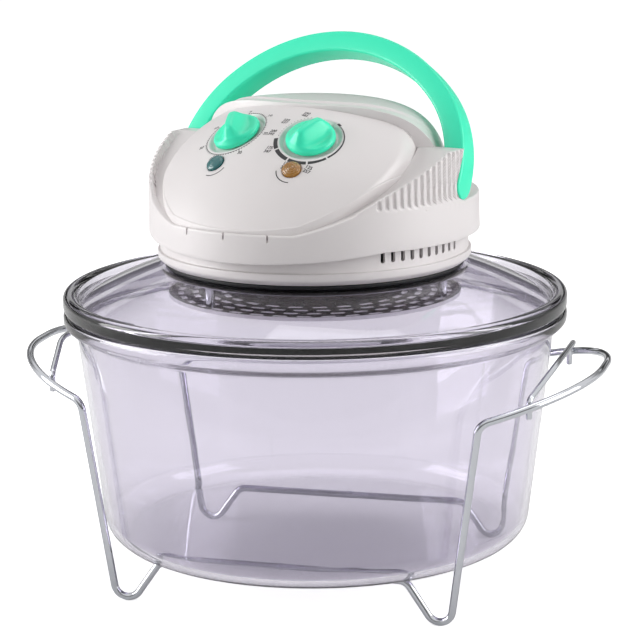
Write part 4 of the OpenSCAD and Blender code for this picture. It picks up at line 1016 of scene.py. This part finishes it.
class OVEN_OT_base(bpy.types.Operator):
    """Base ring with its air slots, and the gasket under it"""

    bl_idname = "oven.base"
    bl_label = "Base ring and gasket"

    def execute(self, context):
        ring = rounded_outline(
            [
                (70, 0), (99.5, 0), (103.4, 3.2), (103.4, 8), (101.5, 8), (101.5, 24.5), (98.9, 24.5),
                (98.9, 3), (70, 3),
            ],
            np.array([0.1, 1.5, 2.5, 0.7, 0.4, 0.3, 0.3, 1.0, 0.1]),
            5,
        )
        base = head_piece("base_moulding", revolve(ring, 360), "white_plastic", nodes=["base_ring"])
        slots = []
        first, pitch, count = 56.3, 4.15, 10
        for side in (-1, 1):
            for i in range(count):
                angle = side * math.radians(first + pitch * i)
                slots.append(slot_cutter(angle, 101.5, 3.0, 12.5, 21.5))
        cutter = head_piece("slot_cutters", join_grids(slots), "white_plastic")
        cut = base.modifiers.new("air slots", "BOOLEAN")
        cut.object = cutter
        cut.solver = "EXACT"
        apply_modifiers(base)
        base.data.set_sharp_from_angle(angle=math.radians(35))
        bpy.data.objects.remove(cutter)
        corners = [(90.5, -3), (98.8, -3), (98.8, 0), (90.5, 0)]
        seal = rounded_outline(corners, np.array([0.2, 1.3, 1.3, 0.2]), 7)
        head_piece("head_seal", revolve(seal), "black_rubber", nodes=["head_gasket"])
        return {"FINISHED"}


class OVEN_OT_casing(bpy.types.Operator):
    """Upper casing: ribbed shoulders, sloping deck, notched lip and rear ledge"""

    bl_idname = "oven.casing"
    bl_label = "Upper casing"

    def execute(self, context):
        depth = context.scene.oven_sizes.rib_depth / MM
        shelf = rounded_outline([(88, 24.5), (107, 24.5), (107, 27), (88, 27)], np.full(4, 0.2), 3)
        grids = [casing_front(depth), casing_rear(), *casing_steps()]
        grids.append(revolve(shelf, 180))
        head_piece("casing", join_grids(grids), "white_plastic", nodes=["upper_casing"], crease=40)
        return {"FINISHED"}


class OVEN_OT_cover(bpy.types.Operator):
    """Rear cover behind the control panel"""

    bl_idname = "oven.cover"
    bl_label = "Rear cover"

    def execute(self, context):
        angles = full_turn(360)
        direction = np.stack([np.sin(angles), -np.cos(angles)], -1)
        start = (0.0, -DOME_SHIFT)
        dome = reach_to_circle(start, direction, start, DOME_R - 0.2)
        seam = reach_to_circle(start, direction, (0, SEAM_Y), SEAM_R - SEAM_GAP / 2)
        reach = np.minimum(dome, seam)
        low = np.where(seam < dome, 50.0, 38.0)
        shell = crowned_shell(start, reach, cover_height, low, 90, angles)
        head_piece("dome_cover", shell, "white_plastic", nodes=["rear_cover"])
        return {"FINISHED"}


class OVEN_OT_panel(bpy.types.Operator):
    """Control panel with the two dished recesses and the lens seats"""

    bl_idname = "oven.panel"
    bl_label = "Control panel"

    def execute(self, context):
        angles = full_turn(400)
        direction = np.stack([np.sin(angles), -np.cos(angles)], -1)
        start = (0.0, -60.0)
        egg = reach_to_circle(start, direction, (0, -PANEL_SHIFT), PANEL_R - 0.3)
        band = reach_to_circle(start, direction, (0, 0), BAND_R - WALL - SEAM_GAP)
        seam = reach_to_circle(start, direction, (0, SEAM_Y), SEAM_R + SEAM_GAP / 2, inside=False)
        reach = np.minimum(np.minimum(egg, band), seam)
        rim = panel_height(start[0] + reach * direction[:, 0], start[1] + reach * direction[:, 1])
        low = np.where(seam < np.minimum(egg, band), rim - 4, 29.0)
        points, faces = crowned_shell(start, reach, panel_height, low, 200, angles)
        for spot in KNOB_SPOTS:
            points = press_dish(points, spot, DISH_R, DISH_FLARE, DISH_DEPTH)
        for spot in LAMP_SPOTS:
            points = press_dish(points, spot, 6.0, 0.5, 1.1)
        head_piece("control_fascia", (points, faces), "white_plastic", nodes=["control_panel"])
        return {"FINISHED"}


class OVEN_OT_controls(bpy.types.Operator):
    """Timer knob, thermostat knob and the two lamp lenses"""

    bl_idname = "oven.controls"
    bl_label = "Knobs and lenses"

    def execute(self, context):
        radius = context.scene.oven_sizes.knob_radius / MM
        knobs = (
            ("timer_grip", KNOB_SPOTS[0], 0.25, "timer_control", "timer_knob"),
            ("thermostat_grip", KNOB_SPOTS[1], -0.3, "thermostat_control", "thermostat_knob"),
        )
        for name, spot, turn, body, node in knobs:
            knob = knob_surface(spot, radius, turn)
            head_piece(name, knob, "mint_plastic", body, [node], crease=60)
        lenses = (
            ("teal_window", LAMP_SPOTS[0], 0.05, "teal_lens", "power_lens"),
            ("amber_window", LAMP_SPOTS[1], 0.16, "amber_lens", "heat_lens"),
        )
        for name, spot, ripple, slot, node in lenses:
            head_piece(name, lens_surface(spot, ripple), slot, nodes=[node], crease=60)
        return {"FINISHED"}


class OVEN_OT_print(bpy.types.Operator):
    """Dial ticks, numbers, arcs and the curved lines under the lenses"""

    bl_idname = "oven.print"
    bl_label = "Dial print"

    def execute(self, context):
        timer, thermostat = KNOB_SPOTS
        laid = []

        def lay(flat, faces, spot):
            laid.append((print_on_panel(flat, spot), faces))

        rim = DISH_R + DISH_FLARE
        lay(*arc_band(0, 300, (rim + 0.5, rim + 0.5), (rim + 0.85, rim + 0.85), 90), timer)
        for minute in range(61):
            length = 1.6 if minute % 10 == 0 else 0.8
            angle = minute * 5
            lay(*arc_band(angle - 0.6, angle + 0.6, (rim + 0.5,) * 2, (rim + 0.75 + length,) * 2, 2), timer)
        for minute in range(0, 61, 10):
            angle = math.radians(minute * 5)
            centre = ((rim + 4.6) * math.sin(angle), (rim + 4.2) * math.cos(angle))
            lay(*number_outline(str(minute), 3.3, centre, 0), timer)
        segments = ((30, 118, 0.6, 1.3), (121, 152, 1.5, 2.1), (155, 187, 2.2, 2.5), (190, 221, 2.5, 2.6),
                    (224, 250, 2.6, 2.6))
        for start, end, thin, thick in segments:
            outer = (rim + 0.6 + thin, rim + 0.6 + thick)
            lay(*arc_band(start, end, (rim + 0.6,) * 2, outer, 24), thermostat)
        lay(*arc_band(21, 29, (rim + 0.4,) * 2, (rim + 2.2,) * 2, 8), thermostat)
        for angle in range(256, 332, 6):
            lay(*arc_band(angle, angle + 2.2, (rim + 0.9,) * 2, (rim + 1.3,) * 2, 3), thermostat)
        heats = ((322, "250", "482"), (292, "225", "437"), (264, "200", "392"), (228, "175", "347"),
                 (184, "150", "302"), (152, "125", "257"))
        for degrees, celsius, fahrenheit in heats:
            angle = math.radians(degrees)
            x, y = (rim + 7.0) * math.sin(angle), (rim + 6.2) * math.cos(angle)
            lay(*number_outline(celsius, 3.2, (x, y + 1.5), 0), thermostat)
            lay(*number_outline(fahrenheit, 3.2, (x, y - 1.5), 0), thermostat)
        for spot, start, end in ((LAMP_SPOTS[0], 120, 205), (LAMP_SPOTS[1], 160, 245)):
            lay(*arc_band(start, end, (9.5, 9.5), (10.1, 10.1), 30), spot)
        quads = [part for part in laid if part[1].shape[1] == 4]
        triangles = [part for part in laid if part[1].shape[1] == 3]
        for name, parts in (("dial_scales", quads), ("dial_numbers", triangles)):
            head_piece(name, join_grids(parts), "ink", outward=(0, 0, 1))
        return {"FINISHED"}


class OVEN_OT_handle(bpy.types.Operator):
    """Folding carry handle"""

    bl_idname = "oven.handle"
    bl_label = "Carry handle"

    def execute(self, context):
        grip = handle_rings(context.scene.oven_sizes)
        head_piece("carry_grip", grip, "mint_plastic", "handle", ["carry_handle"], crease=50)
        return {"FINISHED"}


class OVEN_OT_finishes(bpy.types.Operator):
    """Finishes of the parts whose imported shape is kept"""

    bl_idname = "oven.finishes"
    bl_label = "Finishes"

    def execute(self, context):
        finishes = all_finishes()
        for part in frame["record"]["subparts"]:
            packed = frame["nodes"][part["node"]]
            packed.data.materials.clear()
            # The guard grille gets the dark sheet whose slot walls carry painted light.
            slot = "guard_steel" if part["node"] == "guard_grille" else part["material_slot"]
            packed.data.materials.append(finishes[slot])
        return {"FINISHED"}


class OVEN_OT_stage(bpy.types.Operator):
    """Camera at the photograph's angle, pale floor, soft lamps and a bright room"""

    bl_idname = "oven.stage"
    bl_label = "Stage"

    def execute(self, context):
        scene = context.scene
        scene.view_settings.view_transform = "Standard"
        colours = scene.oven_colours
        lens = bpy.data.cameras.new("front view")
        lens.lens = 135.3
        lens.sensor_width = 36
        camera = bpy.data.objects.new("front view", lens)
        scene.collection.objects.link(camera)
        eye = Vector((0.4180, -1.5058, 0.5177))
        target = Vector((0.003, 0.0008, 0.1741))
        aim = (target - eye).to_track_quat("-Z", "Y").to_matrix().to_4x4()
        camera.matrix_world = Matrix.Translation(eye) @ aim @ Matrix.Rotation(math.radians(-0.56), 4, "Z")
        scene.camera = camera
        self.add_floor(scene, colours)
        lamps = (
            ("left softbox", (-1.9, -0.55, 0.75), 1.4, 34),
            ("right softbox", (1.9, 0.0, 0.9), 1.5, 27),
            ("top softbox", (0.1, 0.4, 2.2), 1.4, 8),
        )
        for name, place, size, power in lamps:
            data = bpy.data.lights.new(name, "AREA")
            data.shape = "SQUARE"
            data.size = size
            data.energy = power
            lamp = bpy.data.objects.new(name, data)
            lamp.location = place
            lamp.rotation_mode = "QUATERNION"
            lamp.rotation_quaternion = (Vector((0, 0, 0.2)) - Vector(place)).to_track_quat("-Z", "Y")
            scene.collection.objects.link(lamp)
        self.light_room(scene)
        return {"FINISHED"}

    def add_floor(self, scene, colours):
        """A level floor out to the horizon. It glows a little for direct, mirrored and refracted rays,
        so that it looks white and still takes the oven's shadow."""
        reach = 30.0
        mesh = bpy.data.meshes.new("pale floor")
        corners = [(-reach, -reach, 0), (reach, -reach, 0), (reach, reach, 0), (-reach, reach, 0)]
        mesh.from_pydata(corners, [], [(0, 1, 2, 3)])
        floor = bpy.data.objects.new("pale floor", mesh)
        scene.collection.objects.link(floor)
        material = bpy.data.materials.new("pale floor")
        material.use_nodes = True
        tree = material.node_tree
        tree.nodes.clear()
        paint = add_node(tree, "ShaderNodeBsdfDiffuse", {"Color": linear_colour(colours.floor)})
        rays = add_node(tree, "ShaderNodeLightPath")
        level = None
        for ray, strength in (("Is Camera Ray", 0.75), ("Is Glossy Ray", 0.05), ("Is Transmission Ray", 0.3)):
            links = {0: rays.outputs[ray]}
            if level:
                links[2] = level
            settings = {"operation": "MULTIPLY_ADD", 1: strength, 2: 0.0}
            level = add_node(tree, "ShaderNodeMath", settings, links)
        glow = add_node(tree, "ShaderNodeEmission", links={"Strength": level})
        both = add_node(tree, "ShaderNodeAddShader", links={0: paint, 1: glow})
        add_node(tree, "ShaderNodeOutputMaterial", links={"Surface": both})
        mesh.materials.append(material)

    def light_room(self, scene):
        """Even light for dull surfaces. Mirrors and glass see a bright ceiling over a dark wall with two
        bright sides, and mirrors also see level stripes, which gives wires and glass their streaks."""
        world = bpy.data.worlds.new("soft room")
        scene.world = world
        world.use_nodes = True
        tree = world.node_tree
        tree.nodes.clear()
        place = add_node(tree, "ShaderNodeTexCoord")
        parts = add_node(tree, "ShaderNodeSeparateXYZ", links={"Vector": place.outputs["Generated"]})
        level_part = {0: parts.outputs[0], 1: parts.outputs[1]}
        around = add_node(tree, "ShaderNodeMath", {"operation": "ARCTAN2"}, level_part)
        turned = add_node(tree, "ShaderNodeMath", {"operation": "MULTIPLY_ADD", 1: 2.0, 2: -1.03}, {0: around})
        wave = add_node(tree, "ShaderNodeMath", {"operation": "SINE"}, {0: turned})
        sides = add_node(tree, "ShaderNodeMapRange", {1: 0.0, 2: 0.45}, {0: wave})
        ceiling = add_node(tree, "ShaderNodeMapRange", {1: 0.42, 2: 0.6}, {0: parts.outputs[2]})
        bright = add_node(tree, "ShaderNodeMath", {"operation": "MAXIMUM"}, {0: sides, 1: ceiling})
        spacing = {"operation": "MULTIPLY_ADD", 1: 34.0, 2: 0.6}
        height = add_node(tree, "ShaderNodeMath", spacing, {0: parts.outputs[2]})
        shelves = add_node(tree, "ShaderNodeMath", {"operation": "SINE"}, {0: height})
        stripes = add_node(tree, "ShaderNodeMapRange", {1: 0.35, 2: 0.8, 4: 0.8}, {0: shelves})
        striped = add_node(tree, "ShaderNodeMath", {"operation": "MAXIMUM"}, {0: bright, 1: stripes})
        mirrored = add_node(tree, "ShaderNodeMapRange", {3: 0.05, 4: 1.0}, {0: striped})
        through = add_node(tree, "ShaderNodeMapRange", {3: 0.34, 4: 0.86}, {0: bright})
        rays = add_node(tree, "ShaderNodeLightPath")
        white = (1, 1, 1, 1)
        rooms = (
            ("even light", white, None, 0.32, None),
            ("backdrop", white, None, 1.0, rays.outputs["Is Camera Ray"]),
            ("mirrored room", white, mirrored, 1.0, rays.outputs["Is Glossy Ray"]),
            ("room through glass", (0.9, 0.87, 1.0, 1), through, 1.0, rays.outputs["Is Transmission Ray"]),
        )
        seen = None
        for label, colour, level, strength, share in rooms:
            settings = {"label": label, "Color": colour, "Strength": strength}
            light = add_node(tree, "ShaderNodeBackground", settings, {"Strength": level} if level else {})
            if seen:
                light = add_node(tree, "ShaderNodeMixShader", links={0: share, 1: seen, 2: light})
            seen = light
        add_node(tree, "ShaderNodeOutputWorld", links={"Surface": seen})


BUILD_ORDER = (
    "stage", "stand", "glass", "base", "casing", "cover", "panel", "controls", "print", "handle", "finishes",
)


class OVEN_PT_panel(bpy.types.Panel):
    """Buttons that build the oven piece by piece"""

    bl_idname = "OVEN_PT_panel"
    bl_label = "Halogen oven"
    bl_space_type = "VIEW_3D"
    bl_region_type = "UI"
    bl_category = "Halogen oven"

    def draw(self, context):
        for settings in (context.scene.oven_sizes, context.scene.oven_colours):
            for key in settings.__annotations__:
                self.layout.prop(settings, key)
        for step in BUILD_ORDER:
            self.layout.operator(f"oven.{step}")


CLASSES = (
    OvenSizes,
    OvenColours,
    OVEN_OT_stage,
    OVEN_OT_stand,
    OVEN_OT_glass,
    OVEN_OT_base,
    OVEN_OT_casing,
    OVEN_OT_cover,
    OVEN_OT_panel,
    OVEN_OT_controls,
    OVEN_OT_print,
    OVEN_OT_handle,
    OVEN_OT_finishes,
    OVEN_PT_panel,
)


def register():
    """Registers the classes and hangs the settings on the scene."""
    for made in CLASSES:
        bpy.utils.register_class(made)
    bpy.types.Scene.oven_sizes = bpy.props.PointerProperty(type=OvenSizes)
    bpy.types.Scene.oven_colours = bpy.props.PointerProperty(type=OvenColours)


def unregister():
    """Takes the settings and the classes away again."""
    del bpy.types.Scene.oven_colours
    del bpy.types.Scene.oven_sizes
    for made in reversed(CLASSES):
        bpy.utils.unregister_class(made)


def main():
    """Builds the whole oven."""
    register()
    for step in BUILD_ORDER:
        getattr(bpy.ops.oven, step)()


if __name__ == "__main__":
    main()
